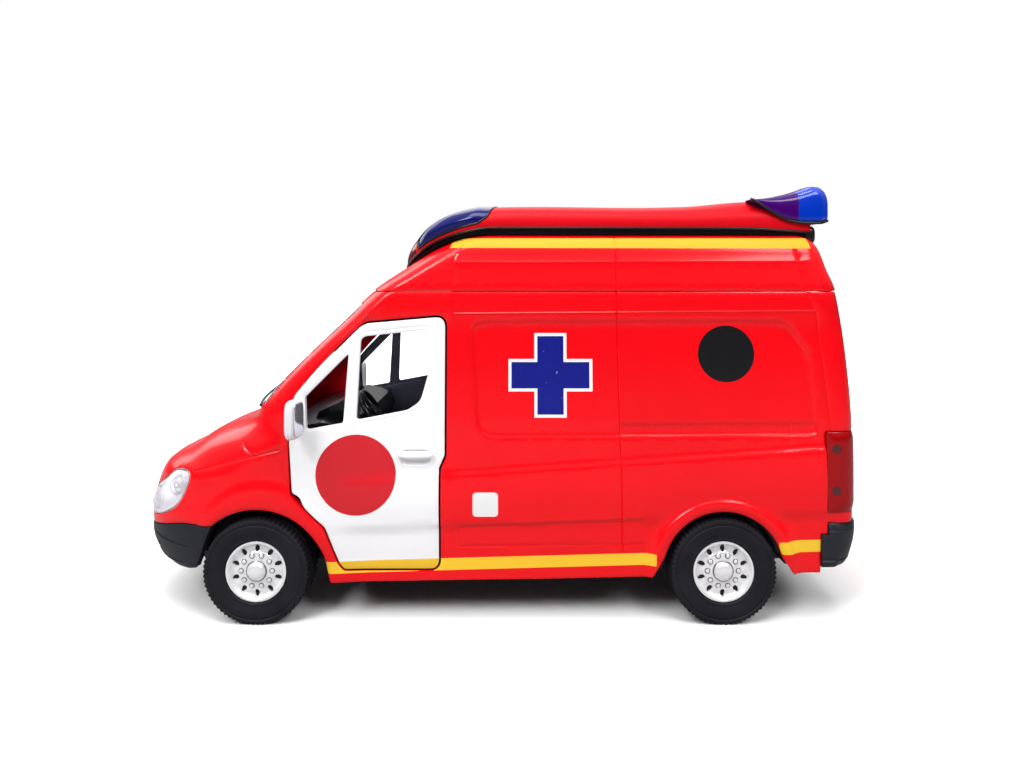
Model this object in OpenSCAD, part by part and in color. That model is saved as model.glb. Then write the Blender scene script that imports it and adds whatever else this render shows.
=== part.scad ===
// Toy ambulance van with a high roof: die-cast body, two cab doors and two
// rear doors that open, free-running wheels on two axles, and blue beacons.
// +X is forward, +Y is the vehicle's left, +Z is up; the origin is on the
// ground, half way along the length. All sizes are in millimetres.

/* [Overall] */
// Distance between the axles
wheelbase = 90.4; // [84:0.2:112]
// From the front axle to the front bumper
front_overhang = 28; // [26:0.2:34]
// From the rear axle to the rear bumper
rear_overhang = 28; // [26:0.2:36]
// Width over the body sides
body_w = 54; // [45:0.5:66]
// Height of the body's lower edge
sill_h = 8.2; // [7.6:0.1:9]
// Height of the joint between the body and the high roof
joint_h = 64.4; // [64:0.2:68]
// Height of the roof's side edge
roof_h = 75.2; // [73:0.2:92]

/* [Shell] */
// Thickness of the body's walls
wall = 1.2; // [0.9:0.1:1.6]
// Thickness of the doors at their hinge edge
door_wall = 1.8; // [1.7:0.1:2.2]
// Gap around every door
gap = 0.5; // [0.45:0.05:0.8]
// Clearance between fixed pieces that meet
seam = 0.1; // [0.05:0.05:0.2]

/* [Wheels] */
// Outer diameter of the tyres
tyre_d = 20.5; // [17:0.1:21.4]
// Width of the tyres
tyre_w = 8; // [6:0.1:9]
// Diameter of the chromed rims
rim_d = 11.8; // [9.6:0.1:14]
// Diameter of the steel axles
axle_d = 2; // [1.6:0.1:2.4]
// Radial clearance of every running fit
run = 0.05; // [0.02:0.01:0.09]

/* [Doors] */
// Diameter of the hinge pins
pin_d = 0.8; // [0.6:0.05:0.9]
// Height of the cab doors' lower edge
door_low = 10.6; // [10:0.1:12]
// Height of the rear doors' lower edge
rear_door_low = 14; // [13.8:0.1:16]

/* [Screws] */
// Distance between the two screw holes in the chassis
screw_pitch = 60; // [40:1:62]
// Diameter of the screw holes
screw_d = 2.2; // [1.6:0.1:2.6]

/* [Hidden] */

// Places along the length
nose_x = (front_overhang + wheelbase + rear_overhang) / 2;
tail_x = -nose_x;
front_axle_x = nose_x - front_overhang;
rear_axle_x = tail_x + rear_overhang;
half_w = body_w / 2;
axle_z = tyre_d / 2;

// Body levels: height, how far the side lies inside the full half width,
// foremost x on the centreline, length of the rounded front, rearmost x.
bumper_top = 19.4;
rear_bumper_top = 20.2;
roof_rise = roof_h - joint_h;
LEVELS = [
    [sill_h, 0.7, nose_x - 5.5, 20, tail_x + 3.2],
    [sill_h + 2.8, 0.4, nose_x - 2, 24, tail_x + 2.2],
    [15, 0.1, nose_x - 0.2, 26, tail_x + 1.8],
    [bumper_top, 0, nose_x, 26, tail_x + 1.8],
    [24, 0, nose_x - 1, 26, tail_x + 1.8],
    [28.6, 0, nose_x - 3.3, 24, tail_x + 1.8],
    [30.6, 0, nose_x - 7.4, 22, tail_x + 1.8],
    [34, 0.1, nose_x - 12.9, 20, tail_x + 1.8],
    [36.7, 0.2, nose_x - 19.8, 16, tail_x + 1.8],
    [38.3, 0.2, nose_x - 22.6, 13, tail_x + 1.8],
    [42, 0.4, front_axle_x + 2.8, 10, tail_x + 1.9],
    [52.6, 1.0, front_axle_x - 7.6, 7, tail_x + 2.7],
    [59.4, 1.5, front_axle_x - 14.8, 7, tail_x + 3.5],
    [joint_h, 2.0, front_axle_x - 20, 7, tail_x + 4.3],
    [joint_h + 0.5 * roof_rise, 2.7, front_axle_x - 27.6, 8, tail_x + 6.1],
    [joint_h + 0.82 * roof_rise, 3.6, front_axle_x - 32.8, 9, tail_x + 7.2],
    [roof_h, 5.5, front_axle_x - 36.4, 10, tail_x + 8.4],
    [roof_h + 1, 13, front_axle_x - 42, 10, tail_x + 12]];
LAST = len(LEVELS) - 1;
shoulder_z = 22;        // above this height the walls slope inwards
nose_power = 2.6;       // squareness of the rounded front, seen from above
nose_steps = 9;
corner_r = 4;           // rear corners, seen from above
corner_steps = 3;

function side_y(level) = half_w - level[1];

// Half width of the body at any height
function side_at(z) = lookup(z, [for (level = LEVELS) [level[0], side_y(level)]]);
function tail_at(z) = lookup(z, [for (level = LEVELS) [level[0], level[4]]]);

// Plan outline of the body at one level, drawn in by inset
function plan_ring(level, inset) =
    let (b = side_y(level) - inset, front = level[2] - inset, deep = level[3],
         rear = level[4] + inset, r = corner_r)
    concat(
        [for (i = [-nose_steps:nose_steps]) let (s = sin(90 * i / nose_steps))
            [front - deep + deep * pow(1 - pow(abs(s), nose_power), 1 / nose_power), b * s]],
        [for (i = [0:corner_steps]) let (q = 90 * i / corner_steps)
            [rear + r - r * sin(q), b - r + r * cos(q)]],
        [for (i = [0:corner_steps]) let (q = 90 * i / corner_steps)
            [rear + r - r * cos(q), -b + r - r * sin(q)]]);

function raised(ring, z) = [for (p = ring) [p[0], p[1], z]];

// The body's outer volume, or its hollow when inset is the wall thickness
module body_volume(inset = 0, first = 0, last = LAST) {
    for (i = [first:last - 1]) {
        low = LEVELS[i];
        high = LEVELS[i + 1];
        low_z = low[0] - (low[0] > shoulder_z ? inset : i == 0 ? inset * 4 : 0);
        high_z = high[0] - (high[0] > shoulder_z ? inset : 0);
        low_ring = raised(plan_ring(low, inset), low_z);
        high_ring = raised(plan_ring(high, inset), high_z);
        count = len(low_ring);
        hull() polyhedron(
            points = concat(low_ring, high_ring),
            faces = [[for (k = [0:count - 1]) k], [for (k = [count - 1:-1:0]) count + k]]);
    }
}

module body_skin(thick = wall) {
    difference() {
        body_volume();
        body_volume(thick);
    }
}

// A box given by its lowest and highest corners
module block(low, high) {
    translate(low) cube(high - low);
}

// Extrudes an outline drawn in X and Z from y = from to y = to
module side_prism(from, to) {
    translate([0, to, 0]) rotate([90, 0, 0]) linear_extrude(to - from) children();
}

module both_sides() {
    children();
    mirror([0, 1, 0]) children();
}

// ---- Cab door outlines, as distances behind the front axle, and heights ----
door_front_x = front_axle_x - 6.5;      // straight front edge, at the hinge
door_rear_x = front_axle_x - 36.2;
door_top = 59.5;
hinge_x = door_front_x - 1.5;
hinge_y = half_w - 1.0;
hinge_low = 25;
hinge_high = 43.5;
hinge_relief = 1.7;                     // room for the door's lower corner as it swings
DOOR = [[door_front_x, 36], [door_front_x - 0.5, 25.5], [door_front_x - 2.5, 23.3],
    [door_front_x - 6.9, 18.9], [door_front_x - 9.6, door_low + 1.2],
    [door_front_x - 10.6, door_low], [door_rear_x + 1.9, door_low],
    [door_rear_x + 0.9, door_low + 1], [door_rear_x + 0.9, 30.1],
    [door_rear_x - 0.2, 32.7], [door_rear_x - 0.2, door_top - 1.4],
    [door_rear_x + 1, door_top], [door_front_x - 14.8, door_top - 1.3],
    [door_front_x - 13.4, door_top - 1.9], [door_front_x - 0.2, 44.1]];
QUARTER_WINDOW = [[door_front_x - 11.2, 52.4], [door_front_x - 10.3, 38.9],
    [door_front_x - 3.2, 37.6], [door_front_x - 2.9, 44]];
MAIN_WINDOW = [[door_front_x - 13.5, 55.6], [door_front_x - 27, 57],
    [door_front_x - 27.3, 52.1], [door_front_x - 26.6, 48.1],
    [door_front_x - 25.2, 43.1], [door_front_x - 22.7, 41.4],
    [door_front_x - 12.8, 39.5]];

// Wall of the body's side as a section, from low to high
function side_section(low, high, thick) = let (
    inner = [for (level = LEVELS) if (level[0] > low && level[0] < high) level[0]],
    heights = concat([low], inner, [high]),
    last = len(heights) - 1) concat(
        [for (z = heights) [side_at(z), z]],
        [for (i = [last:-1:0]) [side_at(heights[i]) - thick, heights[i]]]);

module side_wall(thick, low = door_low - 1, high = door_top + 1) {
    translate([door_rear_x - 2, 0, 0]) rotate([90, 0, 90])
        linear_extrude(door_front_x - door_rear_x + 4)
            polygon(side_section(low, high, thick));
}

module door_hole() {
    side_prism(half_w - 6, half_w + 2) offset(delta = gap) polygon(DOOR);
}

module cab_door() {
    color("white") difference() {
        intersection() {
            side_wall(door_wall);
            side_prism(half_w - 6, half_w + 2) polygon(DOOR);
        }
        side_prism(half_w - 6, half_w + 2) polygon(QUARTER_WINDOW);
        side_prism(half_w - 6, half_w + 2) polygon(MAIN_WINDOW);
        translate([hinge_x, hinge_y, hinge_low - 6])
            cylinder(h = 30, d = pin_d + 2 * run, $fn = 48);
    }
}

card_y = half_w - door_wall - seam;     // outer face of the door's trim
card_thick = 1;
card_top = 36.6;
module door_card() {
    color("dimgray") difference() {
        union() {
            side_prism(card_y - card_thick, card_y - 0.5) polygon([
                [door_front_x - 3.4, card_top], [door_front_x - 3.6, 25],
                [door_front_x - 8, 20], [door_front_x - 11.5, door_low + 3],
                [door_rear_x + 3, door_low + 3], [door_rear_x + 3, card_top]]);
            block([door_rear_x + 5, card_y - card_thick - 1.2, 27],
                [door_front_x - 10, card_y - card_thick, 29.4]);
            for (x = [door_rear_x + 5, door_front_x - 12])
                translate([x, card_y - 0.6, 24]) rotate([-90, 0, 0])
                    cylinder(h = 0.5, d = 2, $fn = 32);
        }
        translate([door_front_x - 16, card_y - card_thick - 1, 19]) rotate([-90, 0, 0])
            cylinder(h = 0.8, d = 6, $fn = 48);
    }
}

// The housing slopes forward from the door, to clear the body when the door is open
mirror_reach = 5.1;
module door_mirror() {
    x = door_front_x - 1.5;
    color("white") {
        hull() for (end = [[x - 0.85, half_w + 1.4], [x, half_w + mirror_reach - 0.8]], z = [38.2, 43.3])
            translate([end[0], end[1], z]) scale([1, 0.9, 1]) sphere(d = 1.8, $fn = 20);
        hull() {
            block([x - 1.8, half_w + 0.02, 36.4], [x - 0.2, half_w + 0.4, 38.8]);
            block([x - 1.4, half_w + 1.2, 37.8], [x - 0.6, half_w + 1.4, 39.4]);
        }
    }
}

// ---- Rear doors ----
rear_door_high = joint_h - 0.4;
rear_door_y = half_w - 5.4;             // outer edge of each rear door
rear_hinge_y = rear_door_y - 1.2;
rear_hinge_x = tail_x + 1.8 + 0.9;
REAR_HINGE_Z = [18.5, 38.5];
rear_lug_h = 2.4;

function tail_section(low, high, thick) = let (
    inner = [for (level = LEVELS) if (level[0] > low && level[0] < high) level[0]],
    heights = concat([low], inner, [high]),
    last = len(heights) - 1) concat(
        [for (z = heights) [tail_at(z), z]],
        [for (i = [last:-1:0]) [tail_at(heights[i]) + thick, heights[i]]]);

// The rear wall between two heights, from y = from to y = to
module tail_wall(thick, low, high, from, to) {
    side_prism(from, to) polygon(tail_section(low, high, thick));
}

module rear_window(grow = 0, from = tail_x - 1, to = tail_x + 9) {
    low = 40;
    high = rear_door_high - 6;
    r = 2;
    translate([from, 0, 0]) rotate([90, 0, 90]) linear_extrude(to - from)
        translate([3.4 - grow, low - grow])
            square([rear_door_y - 7.6 + 2 * grow, high - low + 2 * grow]);
}

module rear_door() {
    color("red") difference() {
        tail_wall(door_wall, rear_door_low, rear_door_high, gap / 2, rear_door_y);
        rear_window();
        rear_window(grow = 0.6, from = rear_hinge_x - 0.3);
        translate([rear_hinge_x, rear_hinge_y, rear_door_low - 1])
            cylinder(h = 31, d = pin_d + 2 * run, $fn = 48);
        for (z = REAR_HINGE_Z)
            block([tail_x - 1, rear_hinge_y - 1.3, z - gap],
                [tail_x + 6, rear_door_y + 1, z + rear_lug_h + gap]);
    }
}

module rear_glass() {
    color("lightblue", 0.5) intersection() {
        translate([0.9, 0, 0])
            tail_wall(0.8, rear_door_low, rear_door_high, gap / 2, rear_door_y);
        rear_window(grow = 0.5);
    }
}

module rear_hinge(z) {
    translate([rear_hinge_x, rear_hinge_y, z - 3])
        cylinder(h = rear_lug_h + 6, d = pin_d, $fn = 48);
    translate([rear_hinge_x, rear_hinge_y, z])
        cylinder(h = rear_lug_h, d = 1.5, $fn = 48);
    block([rear_hinge_x - 0.6, rear_hinge_y, z],
        [rear_hinge_x + 0.6, rear_door_y + gap, z + rear_lug_h]);
}

module hinge_pins() {
    color("silver") both_sides() {
        translate([hinge_x, hinge_y, hinge_low - 3.6])
            cylinder(h = hinge_high - hinge_low + 7.6, d = pin_d, $fn = 48);
        for (z = REAR_HINGE_Z) rear_hinge(z);
    }
}

// ---- Lamps, windscreen, grille and bumpers, cut from the same volume ----
arch_r = 11.6;
module arch_outline(grow = 0) {
    hull() {
        translate([0, axle_z]) circle(r = arch_r + grow, $fn = 48);
        translate([-13.8 - grow, -2]) square([27.6 + 2 * grow, axle_z]);
    }
}

module wheel_arches(grow = 0) {
    for (x = [front_axle_x, rear_axle_x])
        side_prism(-half_w - 2, half_w + 2) translate([x, 0]) arch_outline(grow);
}

// Cuts the body's lower edge on a line that rises towards the rear
sill_rise = 2.6;
module sill_cut() {
    side_prism(-half_w - 2, half_w + 2) polygon([
        [front_axle_x, sill_h - 6], [front_axle_x, sill_h], [tail_x - 2, sill_h + sill_rise],
        [tail_x - 2, sill_h - 6]]);
}

module windscreen_cut(grow = 0) {
    side_prism(-half_w + 4.2 - grow, half_w - 4.2 + grow) polygon([
        [front_axle_x + 12, 41 - grow], [front_axle_x - 4, 41 - grow],
        [front_axle_x - 30, 62.6 + grow], [front_axle_x - 6, 62.6 + grow]]);
}

module headlight_cut(grow = 0) {
    block([front_axle_x + 13.6 - grow, 13 - grow, 22 - grow],
        [nose_x + 2, half_w + 2, 30 + grow]);
}

module grille_cut(grow = 0) {
    block([nose_x - 8, -12 - grow, 20.6 - grow], [nose_x + 2, 12 + grow, 27.8 + grow]);
}

module tail_light_cut(grow = 0) {
    block([tail_x - 2, rear_door_y + gap + 0.4 - grow, 21.6 - grow],
        [tail_x + 8, half_w + 2, 37.2 + grow]);
}

module front_bumper_cut(grow = 0) {
    block([front_axle_x + 10.2 - grow, -half_w - 2, 2], [nose_x + 2, half_w + 2, bumper_top + grow]);
}

rear_bumper_x = tail_x + 9.8;           // front end of the rear bumper's corners
module rear_bumper_cut(grow = 0) {
    block([tail_x - 2, -half_w - 2, 2], [rear_bumper_x + grow, half_w + 2, rear_bumper_top + grow]);
}

module windscreen() {
    color("lightblue", 0.5) intersection() {
        body_skin(0.9);
        windscreen_cut();
    }
}

module grille() {
    color([0.1, 0.1, 0.1]) intersection() {
        body_skin(1.1);
        grille_cut();
    }
}

module headlight() {
    color("whitesmoke") intersection() {
        body_skin(2);
        headlight_cut();
    }
}

module tail_light() {
    color("darkred") intersection() {
        body_skin(1.6);
        tail_light_cut();
    }
}

module front_bumper() {
    color([0.12, 0.12, 0.12]) difference() {
        intersection() {
            body_skin(2);
            front_bumper_cut();
        }
        block([nose_x - 8, -13, 11.6], [nose_x + 2, 13, 13.4]);
        wheel_arches();
    }
}

function bumper_ring(out, z) = let (b = half_w - 0.2 - out, x = tail_x + out, r = corner_r) concat(
    [for (i = [0:corner_steps]) let (q = 90 * i / corner_steps)
        [x + r - r * sin(q), b - r + r * cos(q), z]],
    [for (i = [0:corner_steps]) let (q = 90 * i / corner_steps)
        [x + r - r * cos(q), -b + r - r * sin(q), z]],
    [[rear_bumper_x, -b, z], [rear_bumper_x, b, z]]);

module bumper_block(out, low, high) {
    count = 2 * corner_steps + 4;
    hull() polyhedron(
        points = concat(bumper_ring(out, low), bumper_ring(out, high)),
        faces = [[for (k = [0:count - 1]) k], [for (k = [count - 1:-1:0]) count + k]]);
}

rear_bumper_low = 11;
module rear_bumper() {
    color([0.12, 0.12, 0.12]) difference() {
        union() {
            bumper_block(0, rear_bumper_low + 1, rear_bumper_top - 2.4);
            bumper_block(0.5, rear_bumper_low, rear_bumper_top);
        }
        block([tail_x + 4.4, -half_w + 2, 2], [tail_x + 12, half_w - 2, 30]);
        block([tail_x + 1.6, -rear_door_y - gap, rear_door_low - gap],
            [tail_x + 12, rear_door_y + gap, 30]);
        block([tail_x - 1, -rear_door_y - gap, rear_door_low - gap],
            [tail_x + 12, rear_door_y + gap, 30]);
    }
}

// ---- Body and roof ----
module body_shell() {
    color("red") difference() {
        body_skin();
        block([tail_x - 5, -half_w - 5, joint_h], [nose_x, half_w + 5, roof_h + 9]);
        both_sides() {
            door_hole();
            headlight_cut(seam);
            tail_light_cut(seam);
            translate([hinge_x, hinge_y, hinge_low - 4])
                cylinder(h = hinge_high - hinge_low + 8.4, d = pin_d + 2 * run, $fn = 16);
            translate([hinge_x, hinge_y, hinge_low - 2]) cylinder(h = 3, r = hinge_relief, $fn = 32);
        }
        wheel_arches();
        sill_cut();
        windscreen_cut(seam);
        grille_cut(seam);
        front_bumper_cut(seam);
        rear_bumper_cut(seam);
        block([tail_x - 2, -rear_door_y - gap, rear_door_low - gap],
            [tail_x + 8, rear_door_y + gap, rear_door_high + gap - 0.2]);
    }
}

module high_roof() {
    color("red") intersection() {
        body_skin();
        block([tail_x - 5, -half_w - 5, joint_h + seam], [nose_x, half_w + 5, roof_h + 9]);
    }
}

// ---- Chassis, motor and inside ----
chassis_low = sill_h + 1.2;
chassis_thick = 1.4;
track_in = half_w - 0.4 - tyre_w - 1;   // half width between the tyres
block_y = 12;                           // inner face of the axle blocks
well_half = tyre_d / 2 + 2;
screw_x = [-screw_pitch / 2 - 2, screw_pitch / 2 - 2];

module chassis() {
    w = half_w - wall - 1.8;
    edge = [[nose_x - 12, w - 8], [front_axle_x + well_half, track_in],
        [front_axle_x - well_half, track_in], [front_axle_x - well_half - 1, w],
        [rear_axle_x + well_half + 1, w], [rear_axle_x + well_half, track_in],
        [rear_axle_x - well_half, track_in], [rear_bumper_x - 4, w - 6]];
    color([0.15, 0.15, 0.15]) difference() {
        union() {
            translate([0, 0, chassis_low]) linear_extrude(chassis_thick)
                polygon(concat(edge, [for (i = [len(edge) - 1:-1:0]) [edge[i][0], -edge[i][1]]]));
            both_sides() for (x = [front_axle_x, rear_axle_x])
                block([x - 3, block_y, axle_z - 2.4], [x + 3, track_in, axle_z + 2.4]);
            block([-16, -9, chassis_low - 1.2], [8, 9, chassis_low + 0.2]);
        }
        for (x = [front_axle_x, rear_axle_x])
            translate([x, half_w, axle_z]) rotate([90, 0, 0])
                cylinder(h = body_w, d = axle_d + 2 * run, $fn = 48);
        for (x = screw_x)
            translate([x, 0, chassis_low - 2]) cylinder(h = 6, d = screw_d, $fn = 48);
        block([rear_axle_x - 8.2, -9.2, 0], [rear_axle_x + 8.2, 9.2, 20]);
        block([front_axle_x - 2, -block_y, 0], [front_axle_x + 2, block_y, 20]);
    }
}

motor_high = axle_z + 5;
module pullback_motor() {
    color("dimgray") difference() {
        block([rear_axle_x - 8, -9, axle_z - 4.6], [rear_axle_x + 8, 9, motor_high]);
        translate([rear_axle_x, half_w, axle_z]) rotate([90, 0, 0])
            cylinder(h = body_w, d = axle_d + 4 * run, $fn = 48);
    }
}

floor_low = chassis_low + chassis_thick + seam;
floor_top = rear_door_low - gap - 0.3;
inside_w = half_w - door_wall - 1.2;   // clear of the doors
module interior_floor() {
    x0 = tail_x + 5;
    x1 = front_axle_x - 16;
    color([0.25, 0.25, 0.27]) difference() {
        union() {
            block([x0, -inside_w, floor_low], [x1, inside_w, floor_top]);
            block([rear_axle_x - 9.4, -10.4, floor_low], [rear_axle_x + 9.4, 10.4, motor_high + 1.4]);
            both_sides() block([rear_axle_x - 13.6, track_in - 0.6, floor_low],
                [rear_axle_x + 13.6, inside_w, axle_z + 12.4]);
            block([x1 - 1, -track_in + 0.6, floor_low], [nose_x - 24, track_in - 0.6, floor_top]);
        }
        block([rear_axle_x - 8.3, -9.3, 0], [rear_axle_x + 8.3, 9.3, motor_high + 0.3]);
        both_sides() {
            block([rear_axle_x - 12.6, track_in + 0.4, 0], [rear_axle_x + 12.6, half_w, axle_z + 11.4]);
            block([rear_axle_x - 4, block_y - 0.6, 0], [rear_axle_x + 4, track_in + 1, axle_z + 2.7]);
            block([rear_axle_x - 2, 0, 0], [rear_axle_x + 2, track_in + 1, axle_z + 1.6]);
            block([front_axle_x - 4, block_y - 0.6, 0], [front_axle_x + 4, track_in + 1, axle_z + 2.7]);
        }
        block([front_axle_x - 4, -track_in, 0], [front_axle_x + 4, track_in, axle_z + 1.6]);
        for (x = screw_x)
            translate([x, 0, 0]) cylinder(h = floor_top - 1, d = screw_d, $fn = 48);
    }
}

bulkhead_x = door_rear_x - 5.6;
module bulkhead() {
    color([0.75, 0.75, 0.75]) translate([bulkhead_x, 0, 0]) rotate([90, 0, 90])
        linear_extrude(1.2) difference() {
            polygon(concat(
                [for (z = [floor_top + 0.05, 30, 45, 55, 62.8]) [side_at(z) - wall - 0.9, z]],
                [for (z = [62.8, 55, 45, 30, floor_top + 0.05]) [0.9 + wall - side_at(z), z]]));
            translate([-8, 44]) square([16, 10]);
        }
}

dash_rear = front_axle_x - 18.6;
nose_share = 0.908;                     // of the body's inner width, left beside the dash by the nose
dash_gap = 0.0264;                      // from the dash to the body
dash_w = nose_share * (half_w - wall) - dash_gap;
module dash_solids() {
    union() {
        side_prism(-dash_w, dash_w) polygon([
            [dash_rear + 2, 30], [dash_rear, 34], [dash_rear + 1, 37.4], [dash_rear + 7, 38.6],
            [front_axle_x - 2, 36.4], [front_axle_x + 3, 33.4], [front_axle_x + 3, 31],
            [dash_rear + 7, 27]]);
        side_prism(7, 17) polygon([
            [dash_rear + 2.6, 37.4], [dash_rear + 2.2, 40], [dash_rear + 4.6, 41.4],
            [dash_rear + 9, 39.4], [dash_rear + 10, 37]]);
        side_prism(-4, 4) polygon([
            [dash_rear + 2, 36], [dash_rear - 1.4, 32], [dash_rear + 3, floor_top + 0.05],
            [dash_rear + 8, floor_top + 0.05], [dash_rear + 9, 30]]);
    }
}

module dashboard() {
    color([0.1, 0.1, 0.11]) dash_solids();
}

wheel_tilt = 58;                        // of the steering column, from upright
wheel_x = dash_rear - 1.2;
module steering_wheel() {
    ring_r = 4.6;
    color([0.08, 0.08, 0.08]) difference() {
        translate([wheel_x, 12, 38.6]) rotate([0, -wheel_tilt, 0]) {
            rotate_extrude($fn = 48) translate([ring_r, 0]) circle(d = 1.1, $fn = 24);
            cylinder(h = 1.2, d = 3, center = true, $fn = 32);
            for (q = [0, 120, 240]) rotate(q) block([0, -0.4, -0.35], [ring_r, 0.4, 0.35]);
            translate([0, 0, -5]) cylinder(h = 5, d = 1.4, $fn = 32);
        }
        dash_solids();
    }
}

module seat(width) {
    x = bulkhead_x + 1.6;
    color([0.16, 0.16, 0.18]) {
        block([x + 1, -width / 2, floor_top + 0.05], [x + 13, width / 2, floor_top + 6]);
        block([x + 0.6, -width / 2, floor_top + 6], [x + 14.6, width / 2, floor_top + 9.4]);
        side_prism(-width / 2, width / 2) polygon([
            [x + 0.8, floor_top + 9], [x + 4.6, floor_top + 9],
            [x + 3, floor_top + 27], [x, floor_top + 27]]);
    }
}

module driver_seat() {
    translate([0, 12, 0]) seat(14);
}

module passenger_seat() {
    translate([0, -9.6, 0]) seat(21);
}

// ---- Beacons and fairing on the roof ----
fair_y = half_w - 5.6;                  // half width of the fairing's foot
fair_low = roof_h + 1.1;
fair_top = roof_h + 6.2;
fair_front = front_axle_x - 30;
fair_rear = tail_x + 6.4;

// One cross-section of the fairing at x, between two heights
module fair_section(x, low, high, foot, top) {
    translate([x, 0, 0]) rotate([90, 0, 90]) linear_extrude(0.1) polygon([
        [-foot, low], [foot, low], [foot, low + 0.6], [top, high - 0.6], [top - 1.4, high],
        [1.4 - top, high], [-top, high - 0.6], [-foot, low + 0.6]]);
}

module fairing_volume() {
    hull() {
        fair_section(fair_front, fair_low - 3.4, fair_low - 1.2, fair_y - 6, fair_y - 8);
        fair_section(fair_front - 8, fair_low, fair_top - 1.8, fair_y - 1, fair_y - 4);
        fair_section(fair_front - 17, fair_low, fair_top, fair_y, fair_y - 3);
    }
    hull() {
        fair_section(fair_front - 17, fair_low, fair_top, fair_y, fair_y - 3);
        fair_section(fair_rear + 24, fair_low, fair_top - 0.2, fair_y, fair_y - 2.4);
    }
    hull() {
        fair_section(fair_rear + 24, fair_low, fair_top - 0.2, fair_y, fair_y - 2.4);
        fair_section(fair_rear + 2, fair_low, fair_top + 0.9, fair_y, fair_y - 2.6);
    }
}

// Everything behind the roof's sloping front, as seen from the side
module roof_front_cut() {
    joint = LAST - 4;
    side_prism(-half_w, half_w) polygon(concat(
        [for (i = [joint:LAST]) [LEVELS[i][2] + seam, LEVELS[i][0] + seam / 2]],
        [[LEVELS[LAST][2] - 20, roof_h + 1 + seam / 2], [LEVELS[LAST][2] - 20, joint_h]]));
}

module front_beacon_cut(grow = 0) {
    side_prism(8 - grow, half_w) polygon([
        [fair_front + 4, fair_low - 6], [fair_front + 4, fair_top + 3],
        [fair_front - 17.6 - grow, fair_top + 3], [fair_front - 17.6 - grow, fair_top - 0.6],
        [fair_front - 13.6 - grow, fair_low + 0.8 - grow], [fair_front, fair_low - 2.2 - grow]]);
}

// Side outline of a rear beacon: a lens whose tail rises to a blunt tip
beacon_in = 10.5;                       // inner face of the rear beacons
module rear_beacon_outline(from, to, grow = 0) {
    x = fair_rear;
    z = fair_low;
    side_prism(from, to) offset(delta = grow) polygon([
        [x + 15.2, z + 6.2], [x + 7.1, z + 7.7], [x + 1, z + 9.5], [x - 1.4, z + 8.6],
        [x - 1.6, z + 7.1], [x - 0.6, z + 2.2], [x + 0.2, z + 1.2], [x + 4.1, z + 1.2],
        [x + 7.7, z + 1.8], [x + 11.8, z + 3.9]]);
}

module roof_fairing() {
    color("red") difference() {
        fairing_volume();
        roof_front_cut();
        both_sides() {
            front_beacon_cut(seam);
            rear_beacon_outline(beacon_in - seam, half_w, seam);
        }
    }
}

module front_beacon() {
    color("darkblue") difference() {
        intersection() {
            fairing_volume();
            front_beacon_cut();
        }
        roof_front_cut();
    }
}

module rear_beacon() {
    color("blue") intersection() {
        rear_beacon_outline(beacon_in, half_w);
        translate([fair_rear - 4, 0, 0]) rotate([90, 0, 90]) linear_extrude(24) polygon([
            [beacon_in, fair_low], [fair_y - 0.8, fair_low], [fair_y - 0.9, fair_low + 3],
            [fair_y - 2.6, fair_low + 7.4], [fair_y - 4, fair_low + 9.6],
            [fair_y - 6, fair_low + 9.6], [beacon_in + 2, fair_low + 6.4], [beacon_in, fair_low + 4]]);
    }
}

module fairing_base() {
    color([0.08, 0.08, 0.08]) difference() {
        union() {
            block([fair_rear - 0.6, -fair_y, roof_h - 1.2], [fair_front - 8, fair_y, fair_low - seam]);
            block([fair_rear - 0.6, -fair_y + 1, roof_h - 3], [fair_rear + 1, fair_y - 1, roof_h]);
            both_sides() block([fair_rear - 0.2, beacon_in + 1, roof_h],
                [fair_rear + 6, fair_y - 1.4, fair_low + 1.2 - seam]);
            hull() {
                block([fair_front - 14, -fair_y + 0.6, roof_h - 3],
                    [fair_front - 12, fair_y - 0.6, fair_low - seam]);
                block([fair_front + 0.4, -fair_y + 5, fair_low - 7.4],
                    [fair_front + 1.4, fair_y - 5, fair_low - 4.4]);
            }
        }
        body_volume(-seam / 2);
        fairing_volume();
    }
}

// ---- Wheels ----
tyre_out_y = half_w - 0.4;
rim_bore_end = tyre_out_y - 1.8;

module axle(x) {
    color("silver") translate([x, rim_bore_end, axle_z]) rotate([90, 0, 0])
        cylinder(h = 2 * rim_bore_end, d = axle_d, $fn = 48);
}

module tyre(x) {
    shoulder = 1.2;
    inner = rim_d / 2 + 0.02;
    outer = tyre_d / 2;
    color([0.07, 0.07, 0.07]) translate([x, tyre_out_y, axle_z]) rotate([90, 0, 0])
        rotate_extrude($fn = 96) polygon([
            [inner, 0.6], [inner + 0.5, 0], [outer - shoulder, 0], [outer, shoulder],
            [outer, tyre_w - shoulder], [outer - shoulder, tyre_w], [inner + 0.5, tyre_w],
            [inner, tyre_w - 0.6]]);
}

rim_holes = 10;
module rim(x) {
    r = rim_d / 2;
    hub_r = axle_d / 2 + 1;
    color("gainsboro") translate([x, tyre_out_y, axle_z]) rotate([90, 0, 0]) difference() {
        rotate_extrude($fn = 96) polygon([
            [0, -0.1], [hub_r, 0.2], [hub_r + 0.6, 0.8], [r - 1.9, 0.6], [r - 1.1, 1.4],
            [r - 0.7, 0.3], [r, 0.3], [r, tyre_w - 0.8], [r - 0.7, tyre_w - 0.8],
            [r - 0.9, 2.4], [hub_r, 2.4], [hub_r, tyre_w - 1], [0, tyre_w - 1]]);
        translate([0, 0, tyre_out_y - rim_bore_end]) cylinder(h = tyre_w, d = axle_d + 0.04, $fn = 48);
        for (i = [0:rim_holes - 1]) rotate(360 * i / rim_holes)
            translate([r - 1.6, 0, -1]) cylinder(h = 5, d = 1.1, $fn = 24);
    }
}

module right() {
    mirror([0, 1, 0]) children();
}

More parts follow.
